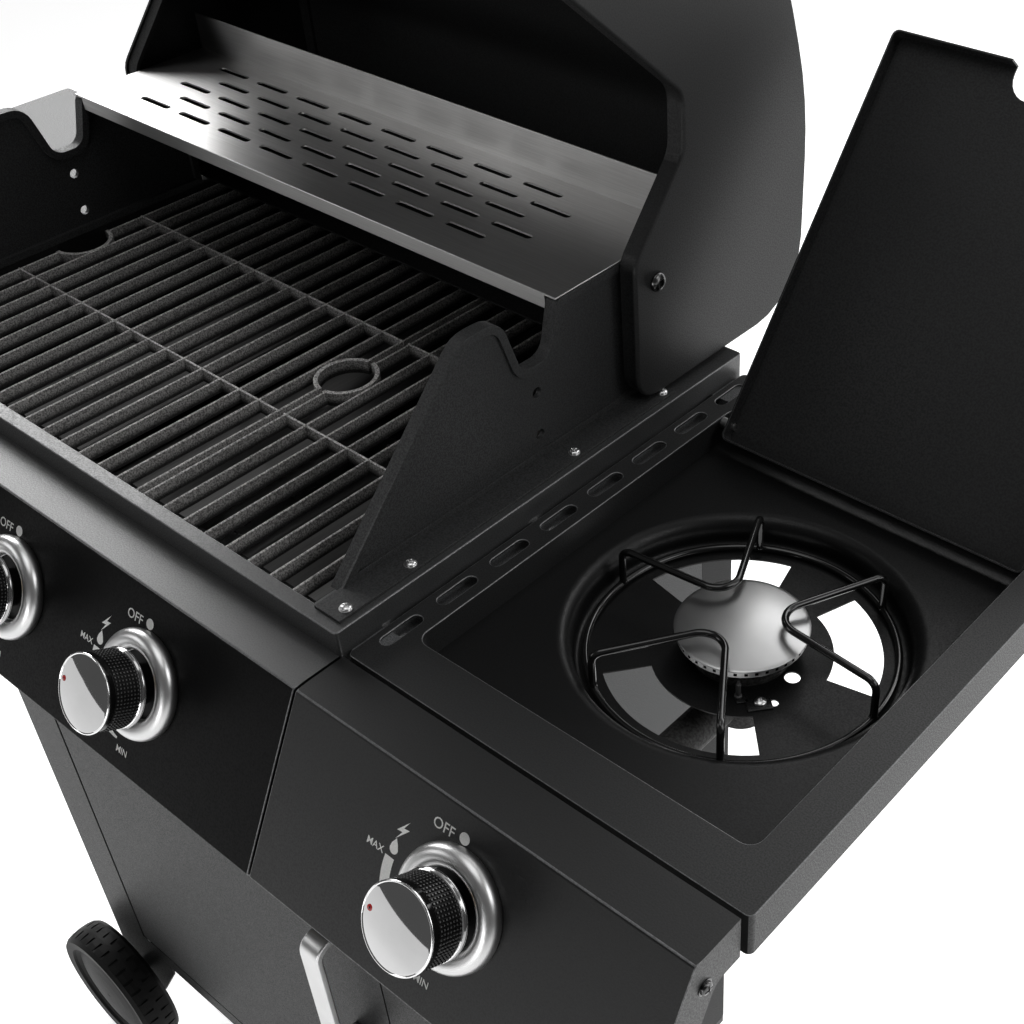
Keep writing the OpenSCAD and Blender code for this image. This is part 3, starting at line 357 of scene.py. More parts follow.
def revolve(form, profile, steps, turn, index=0):
    """Adds a turned skin to form. The profile is [radius, height] points in millimetres."""
    rings = []
    for r, z in profile:
        angles = [2 * math.pi * i / steps for i in range(steps if r else 1)]
        rings.append([form.verts.new(turn @ mm(*polar(r, a), z)) for a in angles])
    for low, high in zip(rings, rings[1:]):
        for i in range(steps):
            j = (i + 1) % steps
            loop = [low[i % len(low)], low[j % len(low)], high[j % len(high)], high[i % len(high)]]
            corners = list(dict.fromkeys(loop))
            if len(corners) > 2:
                form.faces.new(corners).material_index = index


def patch(form, outline, height, turn, index=0):
    """Adds one flat face from an outline [x, y] at a height, in millimetres."""
    form.faces.new([form.verts.new(turn @ mm(x, y, height)) for x, y in outline]).material_index = index


def crown(r, z, rise, step, count):
    """The rounded shoulder of a screw head: [radius, height] points up a quarter of an ellipse."""
    angles = [math.radians(step * k) for k in range(1, count + 1)]
    return [(r * math.cos(a), z + rise * math.sin(a)) for a in angles]


def belt(form, one, other, index=0):
    """Joins two loops of the same length with a band of faces."""
    for k in range(len(one)):
        after = (k + 1) % len(one)
        form.faces.new((one[k], one[after], other[after], other[k])).material_index = index


def place(name, data):
    """An object for the data, in the scene."""
    made = bpy.data.objects.new(name, data)
    bpy.context.scene.collection.objects.link(made)
    return made


def publish(name, form, materials, body, node=None, angle=32):
    """Turns a bmesh into a piece that rides a body and may stand for a CAD node."""
    mesh = bpy.data.meshes.new(name)
    form.to_mesh(mesh)
    form.free()
    for material in materials:
        mesh.materials.append(M[material])
    mesh.shade_smooth()
    mesh.set_sharp_from_angle(angle=math.radians(angle))
    piece = place(name, mesh)
    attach(piece, body)
    if node:
        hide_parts(node)
    return piece


def middle(edge):
    return (edge.verts[0].co + edge.verts[1].co) / 2


def above(height):
    """Picks the edges above a height."""
    return lambda edge: middle(edge).z > height


def always(_edge):
    return True


def is_long(edge):
    return edge.calc_length() > 100 * MM


LIT_TOP_FACES, EDGE_HIGHLIGHT_FACES, PAINTED_SHADE_FACES = 1, 2, 3     # material slots of a clone, after its main one: painted highlight on top faces and on rounded edges, painted shade


def clone(node, material, width=0.0, pick=always, segments=2, sharpest=40, top=None, up=0.97, edge=None):
    """The CAD node's own shape with its convex edges rounded, as a piece that stands for it.

    The edges that pick takes and that turn by more than sharpest degrees are rounded by width. The faces
    whose normal rises past up get the material top, and the rounded edges the material edge; lighter ones there
    are painted highlights.
    """
    form = bmesh.new()
    form.from_mesh(frame["nodes"][node].data)
    bmesh.ops.remove_doubles(form, verts=form.verts, dist=10 * UM)
    bmesh.ops.dissolve_limit(form, angle_limit=math.radians(0.4), verts=form.verts, edges=form.edges)
    if width:
        limit = math.radians(sharpest)
        edges = [e for e in form.edges
                 if len(e.link_faces) == 2 and e.calc_face_angle_signed() > limit and pick(e)]
        bmesh.ops.bevel(form, geom=edges, offset=width, segments=segments, profile=0.5, affect="EDGES",
                        clamp_overlap=True, material=EDGE_HIGHLIGHT_FACES if edge else -1)
    if top:
        form.normal_update()
        for face in form.faces:
            if face.normal.z > up and face.material_index == 0:
                face.material_index = LIT_TOP_FACES
    materials = [material, top or material, edge or material]
    piece = publish(node + "_look", form, materials, BODY_OF[node], node)
    flat = piece.modifiers.new("flat_faces", "WEIGHTED_NORMAL")
    flat.weight, flat.keep_sharp = 100, True
    return piece


def wire_curve(name, points, closed=False):
    """A round enamelled wire of the side burner's support, along points in metres."""
    curve = bpy.data.curves.new(name, "CURVE")
    curve.dimensions = "3D"
    curve.bevel_depth, curve.bevel_resolution = WIRE_R * MM, 5
    curve.use_fill_caps = True
    spline = curve.splines.new("POLY")
    spline.points.add(len(points) - 1)
    for point, at in zip(spline.points, points):
        point.co = (*at, 1)
    spline.use_cyclic_u = closed
    spline.use_smooth = True
    curve.materials.append(M["wire_enamel"])
    piece = place(name, curve)
    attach(piece, "cart")
    return piece


# ---------- Knobs, bezels and printed marks ----------

# Turned sections of a knob, as [radius, height above the panel]
KNOB_SKIRT = [(4.3, 15.5), (24.6, 15.5)] + arc(24.9, 17.0, 1.4, -80, 40, 6) + [(25.4, 18.9)]
KNOB_BEAD = [(25.3, 18.8), (25.85, 19.1), (25.9, 19.6), (25.2, 20.0)]
KNOB_GRIP = [(24.9, 19.8), (24.9, 37.2)]
KNOB_COLLAR = [(25.0, 37.0), (25.5, 37.3), (25.6, 40.6), (25.2, 41.0)]
KNOB_RIM = [(25.1, 40.9)] + arc(25.2, 41.9, 0.8, -60, 90, 8) + [(25.0, 42.6), (24.6, 42.3)]

# Turned sections of a bezel and of the black bush round the stem
BEZEL_RING = ([(35.5, 0.02)] + arc(29.8, 4.0, 7.0, -34, 188, 30)
              + [(22.9, 2.6)] + arc(22.9, 2.2, 0.4, 90, 180, 3))
BEZEL_FLOOR = [(22.7, 2.2), (22.6, 1.3), (13, 1.24)]
STEM_BUSH = [(13.2, 1.2), (13, 10.4), (12.4, 11), (4.4, 11), (4.4, 1.2)]


def on_panel(x, drop):
    """The frame at a knob: +X right, +Y up the slope, +Z out of the panel."""
    turn = Matrix.Rotation(math.radians(90) - TILT, 4, "X")
    return move((x * MM, RIDGE.y, RIDGE.z)) @ turn @ move((0, -drop * MM, 0))


def knurl(form, turn, r, z0, z1, flank, tip):
    """A grip with a square grid of small blunt pyramids. flank and tip are material slots; tip carries a
    painted highlight on the pyramids' tops.
    """
    around, rows, high = 66, 7, 0.8
    foot_inset, tip_inset = 0.17, 0.32
    pitch = (z1 - z0) / rows

    def square(row, i, inset, reach):
        far = 1 - inset
        points = [(*polar(reach, 2 * math.pi * (i + u) / around), z0 + (row + v) * pitch)
                  for u, v in ((inset, inset), (far, inset), (far, far), (inset, far))]
        return [form.verts.new(turn @ mm(*point)) for point in points]

    for row in range(rows):
        for i in range(around):
            foot, head = square(row, i, foot_inset, r), square(row, i, tip_inset, r + high)
            belt(form, foot, head, flank)
            form.faces.new(head).material_index = tip


def crowned_face(r, z, rise, steps):
    """A slightly domed round face, from its rim to its middle."""
    angles = [k * math.pi / (2 * steps) for k in range(1, steps)]
    return ([(r + 0.1, z - 0.05)] + [(r * math.cos(a), z + rise * (1 - math.cos(a) ** 2)) for a in angles]
            + [(0, z + rise)])


def knobs():
    """Four knobs: black knurled grip between bright rims, mirror face, and a red dot near the rim."""
    materials = ["dark_chrome", "chrome", "grip_plastic", "gloss_ring", "mirror", "grip_tip_highlight"]
    skirt, bright, grip, collar, face, lit_tips = range(6)
    for number, (x, drop) in enumerate(KNOBS, 1):
        turn = on_panel(x, drop)
        body = "knob_body_%d" % number
        form = bmesh.new()
        revolve(form, KNOB_SKIRT, 72, turn, skirt)
        revolve(form, KNOB_BEAD, 72, turn, bright)
        revolve(form, KNOB_GRIP, 84, turn, grip)
        knurl(form, turn, 24.92, 20.3, 36.9, grip, lit_tips)
        revolve(form, KNOB_COLLAR, 72, turn, collar)
        revolve(form, KNOB_RIM, 96, turn, bright)
        revolve(form, crowned_face(24.6, 42.3, 1.45, 10), 96, turn, face)
        bmesh.ops.recalc_face_normals(form, faces=form.faces)
        publish("knob_%d_look" % number, form, materials, body, "knob_%d" % number, angle=28)
        dot = bmesh.new()
        spot = turn @ spin(178, "Z") @ move((20.4 * MM, 0, 0))
        revolve(dot, [(1.9, 42.62), (1.9, 43.0), (1.5, 43.2), (0, 43.2)], 24, spot)
        revolve(dot, [(0.75, 43.19), (0.6, 43.26), (0, 43.26)], 16, spot, 1)
        publish("knob_%d_dot" % number, dot, ["print_red", "gloss_ring"], body,
                angle=40)


def bezels():
    """Pressed satin ring round each knob, and the black bush of its stem."""
    form = bmesh.new()
    for x, drop in KNOBS:
        turn = on_panel(x, drop)
        revolve(form, BEZEL_RING, 96, turn)
        revolve(form, BEZEL_FLOOR, 64, turn, 1)
        revolve(form, STEM_BUSH, 48, turn, 1)
    bmesh.ops.recalc_face_normals(form, faces=form.faces)
    publish("knob_bezels_look", form, ["satin_chrome", "bush_black"], "cart", "knob_bezels", angle=40)


def lettering(text, turn, u, v, size):
    """Plain generic lettering as a thin mesh on the panel, centred on (u, v)."""
    font = bpy.data.curves.new("word", "FONT")
    font.body, font.size = text, size * MM
    font.align_x, font.align_y = "CENTER", "CENTER"
    font.extrude, font.resolution_u, font.offset = 30 * UM, 3, 5 * UM * size
    source = place("word", font)
    bpy.context.view_layer.update()
    mesh = bpy.data.meshes.new_from_object(source)
    bpy.data.objects.remove(source)
    mesh.transform(turn @ move(mm(u, v, 0.07)))
    return mesh


PRINT_Z = 0.1
SPARK = [(3.3, 5.6), (-3.1, -1.3), (0.3, -0.9), (-2.7, -5.7), (4.2, 1.7), (0.7, 1.2)]
WORDS = [("OFF", -20.4, 38.2, 9.3), ("MAX", -63.4, 2.6, 6.4), ("MIN", -6.2, -52.8, 6.6)]


def drop_outline(w, low, high):
    """A flame drop: a round foot and a point at the top."""
    r, tall = w / 2, high - low
    foot = arc(0, low + r, r, -180, 0, 9)
    return foot + [(r * 0.62, low + r + tall * 0.34), (0.15, high), (-r * 0.78, low + r + tall * 0.28)]


def flow_wedge(form, turn):
    """The curved wedge beside the knob that narrows from full to low flow."""
    steps = 24
    inner, outer = [], []
    for i in range(steps + 1):
        part = i / steps
        angle, swell = math.radians(178 + 76 * part), math.sin(math.pi * part)
        inner.append(polar(47.4 + 1.4 * swell, angle))
        outer.append(polar(49 + 5.6 * (1 - part) ** 0.8 + 3.2 * swell, angle))
    for i in range(steps):
        patch(form, [inner[i], inner[i + 1], outer[i + 1], outer[i]], PRINT_Z, turn)


def printed_marks():
    """Words, dot, spark, flame and wedge round each knob."""
    form = bmesh.new()
    for x, drop in KNOBS:
        turn = on_panel(x, drop)
        for text, u, v, size in WORDS:
            word = lettering(text, turn, u, v, size)
            form.from_mesh(word)
            bpy.data.meshes.remove(word)
        patch(form, arc(-5, 39.7, 3.7, 0, 345, 23), PRINT_Z, turn)
        patch(form, [(-47.3 + 1.25 * a, 21 + 1.25 * b) for a, b in SPARK], PRINT_Z, turn)
        patch(form, [(-49.6 + a, b) for a, b in drop_outline(6.6, 4.3, 14.6)], PRINT_Z, turn)
        flow_wedge(form, turn)
    publish("printed_marks", form, ["print_white"], "cart", angle=30)


# ---------- Sheet and castings ----------

GAP = 3 * MM                                    # dark gap between the side panel and its table
FOLD_RISE = (0.84, 0.965)                       # upward share of the normals at the panels' ridge, which get a painted highlight line


def outer_fold(edge):
    """True on a panel's outer skin, away from the stem holes, whose rims stay as they are."""
    at = middle(edge)
    spots = [on_panel(x, drop).inverted() @ at for x, drop in KNOBS]
    return spots[0].z > -12 * MM and all(spot.xy.length > 30 * MM for spot in spots)


def open_gap(side):
    """Pulls the side panel's rear edge forward and paints the faces that show in the gap black, as painted
    shade.
    """
    side.data.materials.append(M["painted_shade"])
    for face in side.data.polygons:
        if face.center.y > FRONT - GAP:
            face.material_index = 0 if face.normal.z > 0.9 else PAINTED_SHADE_FACES
    for v in side.data.vertices:
        if v.co.y > FRONT - GAP:
            v.co.y -= GAP


def panels():
    """Folded panels with a painted highlight line along the ridge and a lighter top strip of painted highlight.
    """
    # Its top faces get the lighter strip copy: painted highlight.
    main = clone("control_panel", "panel_coat", 0.7 * MM, outer_fold, 3, 25,
                 top="strip_highlight_coat", edge="edge_highlight_coat")
    side = clone("side_control_panel", "side_panel_coat", 0.7 * MM, outer_fold, 3, 25, edge="edge_highlight_coat")
    open_gap(side)
    # The ridge's fold faces get the edge slot: a painted highlight line.
    for panel in (main, side):
        for face in panel.data.polygons:
            if face.material_index == 0 and FOLD_RISE[0] < face.normal.z < FOLD_RISE[1]:
                face.material_index = EDGE_HIGHLIGHT_FACES
    clone("left_fascia", "panel_coat", 0.9 * MM, outer_fold, 3, 25)


def firebox():
    """The frame, the cast end walls, the grates, the rack and the heat tents."""
    clone("base_frame", "frame_coat", 0.8 * MM, above(FRAME_TOP - 0.5 * MM), 3, edge="edge_highlight_coat")
    for side in ("left", "right"):
        clone("firebox_wall_" + side, "wall_cast", 1.8 * MM, above(FRAME_TOP + 0.8 * MM), 4, 28)
    for side in ("left", "right"):
        # Upward faces get the lighter copy: painted highlight.
        clone("grate_" + side, "cast_iron", 0.3 * MM, above(T + 4 * MM), top="cast_lit_tops", up=0.5)
    clone("warming_rack", "stainless", 0.6 * MM, is_long, 3)
    clone("heat_tents", "tent_steel", 0.5 * MM, is_long)


def tables():
    """The tables, the side burner's pan and its lid. The table's front inside the gap is black painted shade.
    """
    top_edges = above(T - 0.4 * MM)
    table = clone("side_table", "table_coat", 0.9 * MM, top_edges, 3, edge="edge_highlight_coat")
    table.data.materials.append(M["painted_shade"])
    for face in table.data.polygons:
        if face.normal.y < -0.8 and face.center.y < FRONT + 2 * MM:
            face.material_index = PAINTED_SHADE_FACES
    clone("left_shelf", "table_coat", 0.9 * MM, top_edges, 3, edge="edge_highlight_coat")
    clone("side_burner_pan", "pan_coat")
    clone("side_lid", "lid_coat", 0.5 * MM, segments=3, edge="edge_highlight_coat")


def hood():
    """The shell, and its cast ends with rounded outer edges."""
    clone("hood_shell", "hood_enamel", 0.4 * MM)
    for side in ("left", "right"):
        clone("hood_side_" + side, "hood_enamel", 2.2 * MM, lambda e: abs(middle(e).x) > 289.5 * MM, 4, 28)


def cart():
    """Legs, door, handle and feet. The door's left edge stands back for the gap beside the leg."""
    for node in ("leg_front_left", "leg_front_right", "leg_rear_left", "leg_rear_right"):
        clone(node, "pillar_coat", 0.6 * MM, segments=3)
    door = clone("door", "door_coat", 0.8 * MM, segments=3)
    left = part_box("door")[0][0]
    for v in door.data.vertices:
        if v.co.x < left + 4 * MM:
            v.co.x += 2.2 * MM
    clone("door_handle", "satin_aluminium", 1.8 * MM, segments=4)
    clone("feet", "black_plastic", 1.5 * MM, segments=3)


# ---------- Side burner ----------

def trivet_loop(ring_z, high):
    """One V-shaped loop along +X, in millimetres: up a post, inwards, round the nose and back."""
    bend, nose, apex = 7, 15, 42
    post = Vector(polar(TRIVET_R, math.radians(30)))
    lean = math.atan2(post.y - nose, post.x - apex)
    start = math.pi / 2 + lean
    half = [Vector((post.x, post.y, ring_z)), Vector((post.x, post.y, high - bend))]
    for k in range(1, 7):
        a = math.radians(k * 15)
        inwards = bend * (1 - math.cos(a))
        half.append(Vector((post.x - inwards * math.cos(lean), post.y - inwards * math.sin(lean),
                            high - bend + bend * math.sin(a))))
    for k in range(13):
        x, y = polar(nose, start + (math.pi - start) * k / 12)
        half.append(Vector((apex + x, y, high)))
    return half + [Vector((p.x, -p.y, p.z)) for p in reversed(half[:-1])]


def trivet():
    """Bent enamelled wire: a ring and three V-shaped loops, with weld beads on the ring."""
    ring_z = BURNER.z / MM + WIRE_R
    high = T / MM - LOOP_DROP - WIRE_R
    circle = [BURNER + mm(*polar(TRIVET_R, math.radians(3 * k)), WIRE_R) for k in range(120)]
    ring = wire_curve("trivet_ring", circle, closed=True)
    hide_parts("pan_support")
    for turn in (30, 150, 270):
        turned = [spin(turn, "Z", 3) @ p for p in trivet_loop(ring_z, high)]
        points = [Vector((BURNER.x, BURNER.y, 0)) + p * MM for p in turned]
        wire_curve("trivet_loop_%d" % turn, points)
        beads = bmesh.new()
        for end in (points[0], points[-1]):
            revolve(beads, [(0, -1.6)] + arc(0, 0.6, 3.1, -44, 62, 6)[:-1] + [(2.3, 3.2)], 20, move(end))
        publish("trivet_beads_%d" % turn, beads, ["wire_enamel"], "cart", angle=60)


def burner_cap():
    """Pressed steel cap: a rolled rim and a slightly domed top."""
    form = bmesh.new()
    low, rise = 1.15, 3.2
    top = [(CAP_R * (1 - k / 16), low + rise * (1 - (1 - k / 16) ** 2)) for k in range(1, 16)]
    rim = [(CAP_R - 9.4, 0), (CAP_R - 3, 0)] + arc(CAP_R - 0.6, 0.6, 0.6, -80, 70, 6)
    revolve(form, [(0, 3)] + rim + top + [(0, low + rise)], 96, move((BURNER.x, BURNER.y, CAP_Z)))
    bmesh.ops.recalc_face_normals(form, faces=form.faces)
    publish("burner_cap", form, ["cap_steel"], "cart", "side_burner_cap", angle=34)


def burner_ports():
    """The ring of square gas ports that shows under the cap's rim; the ports' insides and backs are black
    painted shade.
    """
    form = bmesh.new()
    turn = move((BURNER.x, BURNER.y, CAP_Z))
    ports, r, inner, low, high = 40, CAP_R - 1.2, CAP_R - 4.5, -4.6, -0.02

    def loop(reach, start, end, foot, head):
        return [form.verts.new(turn @ mm(*polar(reach, 2 * math.pi * part / ports), z))
                for part, z in ((start, foot), (end, foot), (end, head), (start, head))]

    for i in range(ports):
        plate = loop(r, i, i + 1, low, high)
        mouth = loop(r, i + 0.34, i + 0.66, -3.3, -1.2)
        back = loop(inner, i + 0.34, i + 0.66, -3.3, -1.2)
        belt(form, plate, mouth)
        belt(form, mouth, back, 1)
        form.faces.new(back).material_index = 1
    wall = [(r, low), (r - 0.8, low - 0.7), (r - 5, low - 0.9), (r - 5, high), (r, high)]
    revolve(form, wall, ports, turn)
    bmesh.ops.remove_doubles(form, verts=form.verts, dist=2 * UM)
    bmesh.ops.recalc_face_normals(form, faces=form.faces)
    publish("burner_ports", form, ["cast_aluminium", "painted_shade"], "cart",
            angle=30)


def electrode():
    """Black bracket with one bright button screw, a grey ceramic rod and its wire tip."""
    form = bmesh.new()
    thick = 1.2                                 # of the bracket's sheet
    plate = move(BURNER) @ move(mm(37.5, -31.9)) @ spin(49, "Z")
    for x0, x1, y0, y1 in ((-8, 8, -6, 4.5), (-13.5, -6, 2, 10.5)):
        for v in bmesh.ops.create_cube(form, size=1)["verts"]:
            part = v.co + Vector((0.5, 0.5, 0.5))
            v.co = plate @ mm(x0 + part.x * (x1 - x0), y0 + part.y * (y1 - y0), part.z * thick)
    bmesh.ops.bevel(form, geom=form.edges[:], offset=0.4 * MM, segments=2, profile=0.5, affect="EDGES")
    rod = [(2.6, 1.1), (2.6, 2.2), (1.7, 2.8), (1.7, 11.5), (0.9, 12), (0.9, 14), (0, 14)]
    revolve(form, rod, 24, move(BURNER) @ move(mm(24.1, -35.2)), 1)
    screw = [(4, 0), (4, 0.7)] + crown(4, 0.7, 1.9, 9, 6) + [(1.5, 2.5), (1.4, 1.2), (0, 1.1)]
    revolve(form, screw, 36, plate @ move(mm(1, 0, thick)), 2)
    bmesh.ops.recalc_face_normals(form, faces=form.faces)
    publish("electrode_look", form, ["bracket_black", "ceramic", "zinc"], "cart", "side_electrode",
            angle=35)


# ---------- Screws, bolts and thermometer ----------

def cross_head(form, turn, r, high):
    """A pan-head screw with a cross recess, standing on turn's origin. Sizes in millimetres."""
    steps, side = 48, high * 0.35
    slot_half, slot_reach, slot_depth = r * 0.11, r * 0.6, high * 0.5
    rows = []
    for reach, z in [(r, 0), (r, side)] + crown(r, side, high - side, 15, 5) + [(r * 0.13, high)]:
        row = []
        for i in range(steps):
            x, y = polar(reach, 2 * math.pi * i / steps)
            recessed = min(abs(x), abs(y)) < slot_half and max(abs(x), abs(y)) < slot_reach
            row.append(form.verts.new(turn @ mm(x, y, z - (slot_depth if recessed else 0))))
        rows.append(row)
    for low, top in zip(rows, rows[1:]):
        belt(form, low, top)
    form.faces.new(rows[-1])


def screws():
    """Cross-head screws: four along each side of the frame's flange, and one in the side panel's end."""
    form = bmesh.new()
    along_flange = (0.045, 0.209, 0.681, 0.975)
    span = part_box("firebox_wall_right")[1].y - FRONT
    for part in along_flange:
        for side in (-1, 1):
            at = move((side * 289 * MM, FRONT + part * span, FRAME_TOP + 2 * MM))
            turn = at @ Matrix.Rotation(part * 9, 4, "Z")
            revolve(form, [(4.4, 0), (4.4, 0.35), (3.6, 0.4)], 32, turn)
            cross_head(form, turn @ move(mm(0, 0, 0.3)), 3.7, 2.2)
    bmesh.ops.recalc_face_normals(form, faces=form.faces)
    publish("flange_screws_look", form, ["zinc"], "cart", "flange_screws", angle=50)
    end = bmesh.new()
    turn = move(mm(601, -236.2, 905.6)) @ spin(90, "Y")
    revolve(end, [(5.2, 0), (5.2, 0.5), (4.2, 0.6)], 36, turn)
    cross_head(end, turn @ move(mm(0, 0, 0.5)), 4.1, 2.6)
    bmesh.ops.recalc_face_normals(end, faces=end.faces)
    publish("panel_end_screw", end, ["bolt_black"], "cart", angle=50)


def hood_bolt_heads():
    """Black button bolts with a hexagon socket, one at each hood pivot."""
    form = bmesh.new()
    for side in (-1, 1):
        turn = move((side * 290.4 * MM, FRONT + 308 * MM, T + 112 * MM)) @ spin(side * 90, "Y")

        def ring(r, z, step):
            return [form.verts.new(turn @ mm(*polar(r, math.radians(a)), z)) for a in range(0, 360, step)]

        revolve(form, [(7, 0), (7, 0.8)] + crown(6.9, 0.8, 3.4, 10, 6), 48, turn)
        rim, floor_loop, outer = ring(2.7, 3.75, 60), ring(2.7, 1.6, 60), ring(3.45, 3.745, 10)
        belt(form, rim, floor_loop)
        form.faces.new(floor_loop)
        for k in range(6):
            after = rim[(k + 1) % 6]
            for j in range(6):
                form.faces.new((outer[6 * k + j], outer[(6 * k + j + 1) % 36], rim[k] if j < 3 else after))
            form.faces.new((outer[6 * k + 3], after, rim[k]))
        revolve(form, [(4, -1.2), (4, -22)], 24, turn)
    bmesh.ops.recalc_face_normals(form, faces=form.faces)
    publish("hood_bolts_look", form, ["bolt_black"], "cart", "hood_bolts", angle=35)


def dial_frame():
    """The frame on the thermometer's rim, +Z outwards: its largest flat face looks the other way."""
    mesh = frame["nodes"]["thermometer"].data
    areas = {}
    for face in mesh.polygons:
        key = tuple(round(c, 3) for c in face.normal)
        areas[key] = areas.get(key, 0) + face.area
    axis = -Vector(max(areas, key=areas.get)).normalized()
    high = max(v.co.dot(axis) for v in mesh.vertices)
    rim = [v.co for v in mesh.vertices if high - v.co.dot(axis) < 0.1 * MM]
    side = Vector((1, 0, 0))
    turn = Matrix((side, axis.cross(side), axis)).transposed().to_4x4()
    return move(sum(rim, Vector()) / len(rim)) @ turn


def stroke(form, turn, degrees, start, end, foot, tip, height, index):
    """A straight mark along a radius, half as wide as foot and tip say."""
    along, across = Vector(polar(1, math.radians(degrees))), Vector(polar(1, math.radians(degrees + 90)))
    patch(form, [along * start - across * foot, along * end - across * tip,
                 along * end + across * tip, along * start + across * foot], height, turn, index)


def thermometer_dial():
    """A plain dial inside the CAD bezel: pale face, printed ticks, a needle and its hub."""
    materials = ["dial_face", "dial_print", "print_red", "zinc"]
    pale, tick, needle, hub = range(4)
    turn = dial_frame()
    form = bmesh.new()
    revolve(form, [(27.2, -1.9), (0, -1.9)], 64, turn, pale)
    for k in range(31):
        start, half = (20.5, 0.55) if k % 5 == 0 else (23, 0.3)
        stroke(form, turn, 225 - 9 * k, start, 25.3, half, half, -1.8, tick)
    stroke(form, turn, 205, -6, 19, 1, 0.3, -1.2, needle)
    revolve(form, [(2.8, -1.8), (2.8, -0.9), (2.1, -0.6), (0, -0.55)], 32, turn, hub)
    publish("thermometer_dial", form, materials, BODY_OF["thermometer"],
            angle=35)


# ---------- Camera, light and floor ----------

def camera():
    """The photo's camera, from its calibration."""
    azimuth, elevation, roll = math.radians(39.98), math.radians(39.49), math.radians(0.94)
    forward = Vector((-math.sin(azimuth) * math.cos(elevation), math.cos(azimuth) * math.cos(elevation),
                      -math.sin(elevation)))
    right = Quaternion(forward, roll) @ Vector((math.cos(azimuth), math.sin(azimuth), 0))
    data = bpy.data.cameras.new("camera")
    data.sensor_width, data.lens = 36, 50.85
    data.shift_x, data.shift_y = -0.156, 0.031
    data.clip_start, data.clip_end = 0.05, 30
    seen_from = place("camera", data)
    turn = Matrix((right, right.cross(forward), -forward)).transposed().to_4x4()
    seen_from.matrix_world = move((856.39 * MM, FRONT - 356.4 * MM, 1530 * MM)) @ turn
    bpy.context.scene.camera = seen_from


def lights():
    """Softboxes all round, each aimed at the firebox. Places and sizes in metres, power in watts."""
    aim = Vector((0.1, 0, 0.95))
    for name, at, size, power in (
            ("left_softbox", (-2.3, 0.75, 2.15), (1.5, 1.3), 44),
            ("right_softbox", (2.5, 0.5, 2.7), (1.3, 1.3), 14),
            ("right_low_softbox", (2.8, 1.2, 1.2), (1.2, 1.2), 13),
            ("front_low_softbox", (0.7, -3.1, 0.75), (1.2, 0.9), 13),
            ("front_left_softbox", (-1.75, -1.75, 1.95), (1.0, 1.0), 6),
            ("top_softbox", (0.3, -0.4, 3.4), (1.6, 1.6), 12),
            ("back_softbox", (0, 3.2, 3.0), (3.4, 2.0), 62),
            ("rear_top_softbox", (-0.75, 1.64, 3.75), (1.5, 1.5), 2.5),
            ("back_right_softbox", (1.6, 3.2, 1.3), (1.6, 1.6), 22)):
        data = bpy.data.lights.new(name, "AREA")
        data.shape, data.size, data.size_y = "RECTANGLE", size[0], size[1]
        data.energy = power
        softbox = place(name, data)
        softbox.location = at
        softbox.rotation_mode = "QUATERNION"
        softbox.rotation_quaternion = (aim - Vector(at)).to_track_quat("-Z", "Y")


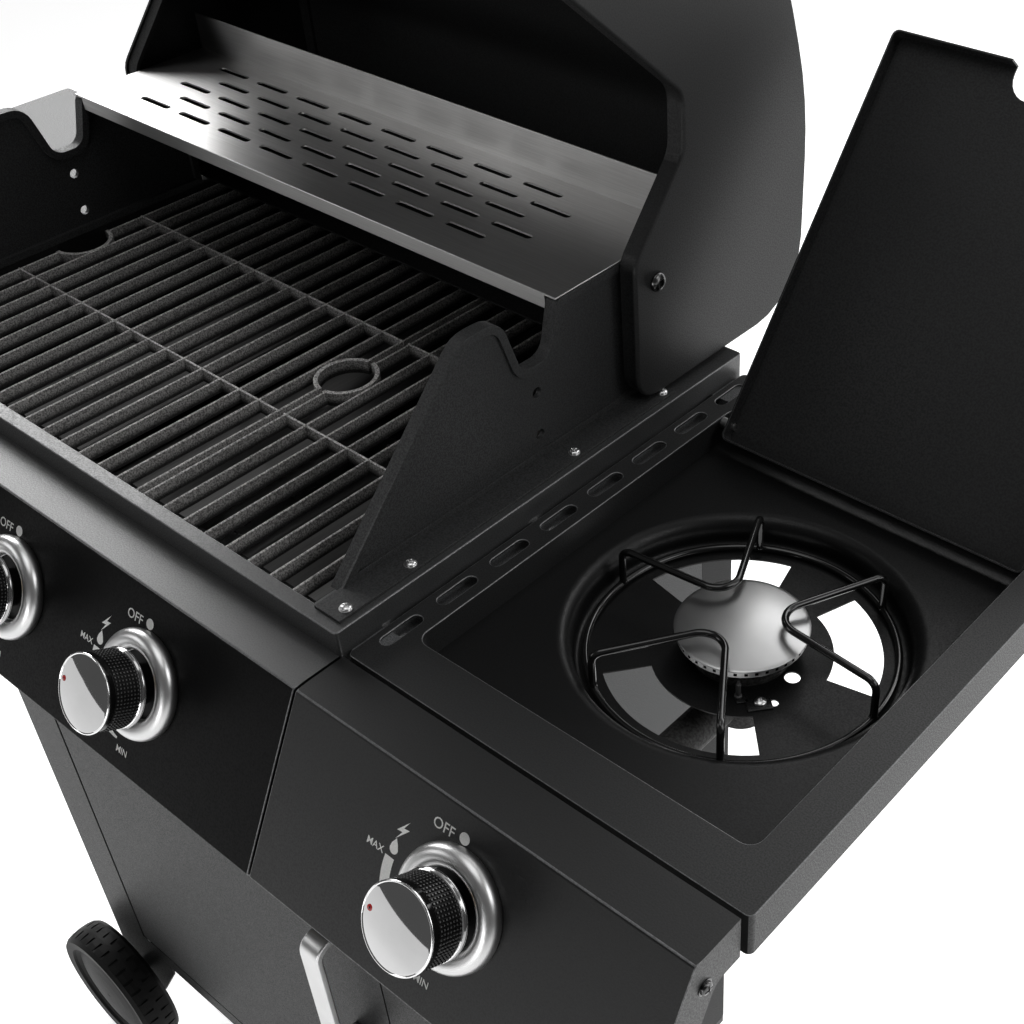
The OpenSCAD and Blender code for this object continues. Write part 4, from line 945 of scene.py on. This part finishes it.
def studio():
    """White backdrop to the camera and, behind the object, to reflections; the rest of the room is dim."""
    world = bpy.data.worlds.new("studio")
    bpy.context.scene.world = world
    world.use_nodes = True
    tree = world.node_tree
    tree.nodes.clear()
    link = tree.links.new
    out = tree.nodes.new("ShaderNodeOutputWorld")
    path = tree.nodes.new("ShaderNodeLightPath")
    backs = {}
    for name, strength in (("seen", 1.0), ("soft", 0.05), ("room", 1.0)):
        backs[name] = tree.nodes.new("ShaderNodeBackground")
        backs[name].inputs["Strength"].default_value = strength
    where = tree.nodes.new("ShaderNodeTexCoord")
    split = tree.nodes.new("ShaderNodeSeparateXYZ")
    ramp = tree.nodes.new("ShaderNodeValToRGB")
    front, back = ramp.color_ramp.elements
    front.position, front.color = 0.1, (0.10, 0.10, 0.10, 1)
    back.position, back.color = 0.9, (1, 1, 1, 1)
    clear = tree.nodes.new("ShaderNodeMath")
    clear.operation = "MAXIMUM"
    lit = tree.nodes.new("ShaderNodeMixShader")
    final = tree.nodes.new("ShaderNodeMixShader")
    link(where.outputs["Generated"], split.inputs[0])
    link(split.outputs["Y"], ramp.inputs["Fac"])
    link(ramp.outputs["Color"], backs["room"].inputs["Color"])
    link(path.outputs["Is Glossy Ray"], lit.inputs[0])
    link(backs["soft"].outputs[0], lit.inputs[1])
    link(backs["room"].outputs[0], lit.inputs[2])
    link(path.outputs["Is Camera Ray"], clear.inputs[0])
    link(path.outputs["Is Transmission Ray"], clear.inputs[1])
    link(clear.outputs[0], final.inputs[0])
    link(lit.outputs[0], final.inputs[1])
    link(backs["seen"].outputs[0], final.inputs[2])
    link(final.outputs[0], out.inputs["Surface"])


def floor():
    """A pale floor, white where it is lit and seen, that keeps the object's shadow."""
    mesh = bpy.data.meshes.new("floor")
    form = bmesh.new()
    bmesh.ops.create_grid(form, x_segments=2, y_segments=2, size=9)
    form.to_mesh(mesh)
    form.free()
    ground = place("floor", mesh)
    n = Nodes("floor_white")
    n.shader.inputs["Roughness"].default_value = 0.8
    n.link(n.ramp(n.noise(2), grey(0.80), grey(0.82)), n.shader.inputs["Base Color"])
    glow = n.add("ShaderNodeEmission", Strength=0.80)
    both = n.add("ShaderNodeAddShader")
    path = n.add("ShaderNodeLightPath")
    seen = n.add("ShaderNodeMath", "MAXIMUM")
    also = n.add("ShaderNodeMath", "MAXIMUM")
    mix = n.add("ShaderNodeMixShader")
    n.link(n.shader.outputs[0], both.inputs[0])
    n.link(glow.outputs[0], both.inputs[1])
    n.link(path.outputs["Is Camera Ray"], seen.inputs[0])
    n.link(path.outputs["Is Glossy Ray"], seen.inputs[1])
    n.link(seen.outputs[0], also.inputs[0])
    n.link(path.outputs["Is Transmission Ray"], also.inputs[1])
    n.link(also.outputs[0], mix.inputs[0])
    n.link(n.shader.outputs[0], mix.inputs[1])
    n.link(both.outputs[0], mix.inputs[2])
    n.link(mix.outputs[0], n.tree.nodes["Material Output"].inputs["Surface"])
    mesh.materials.append(n.mat)


bpy.context.scene.view_settings.view_transform = "Standard"
powder_coats()
castings()
bare_metals()
plastics()
prints()
dress_frame()
camera()
knobs()
bezels()
printed_marks()
panels()
firebox()
tables()
hood()
cart()
trivet()
burner_cap()
burner_ports()
electrode()
screws()
hood_bolt_heads()
thermometer_dial()
lights()
studio()
floor()
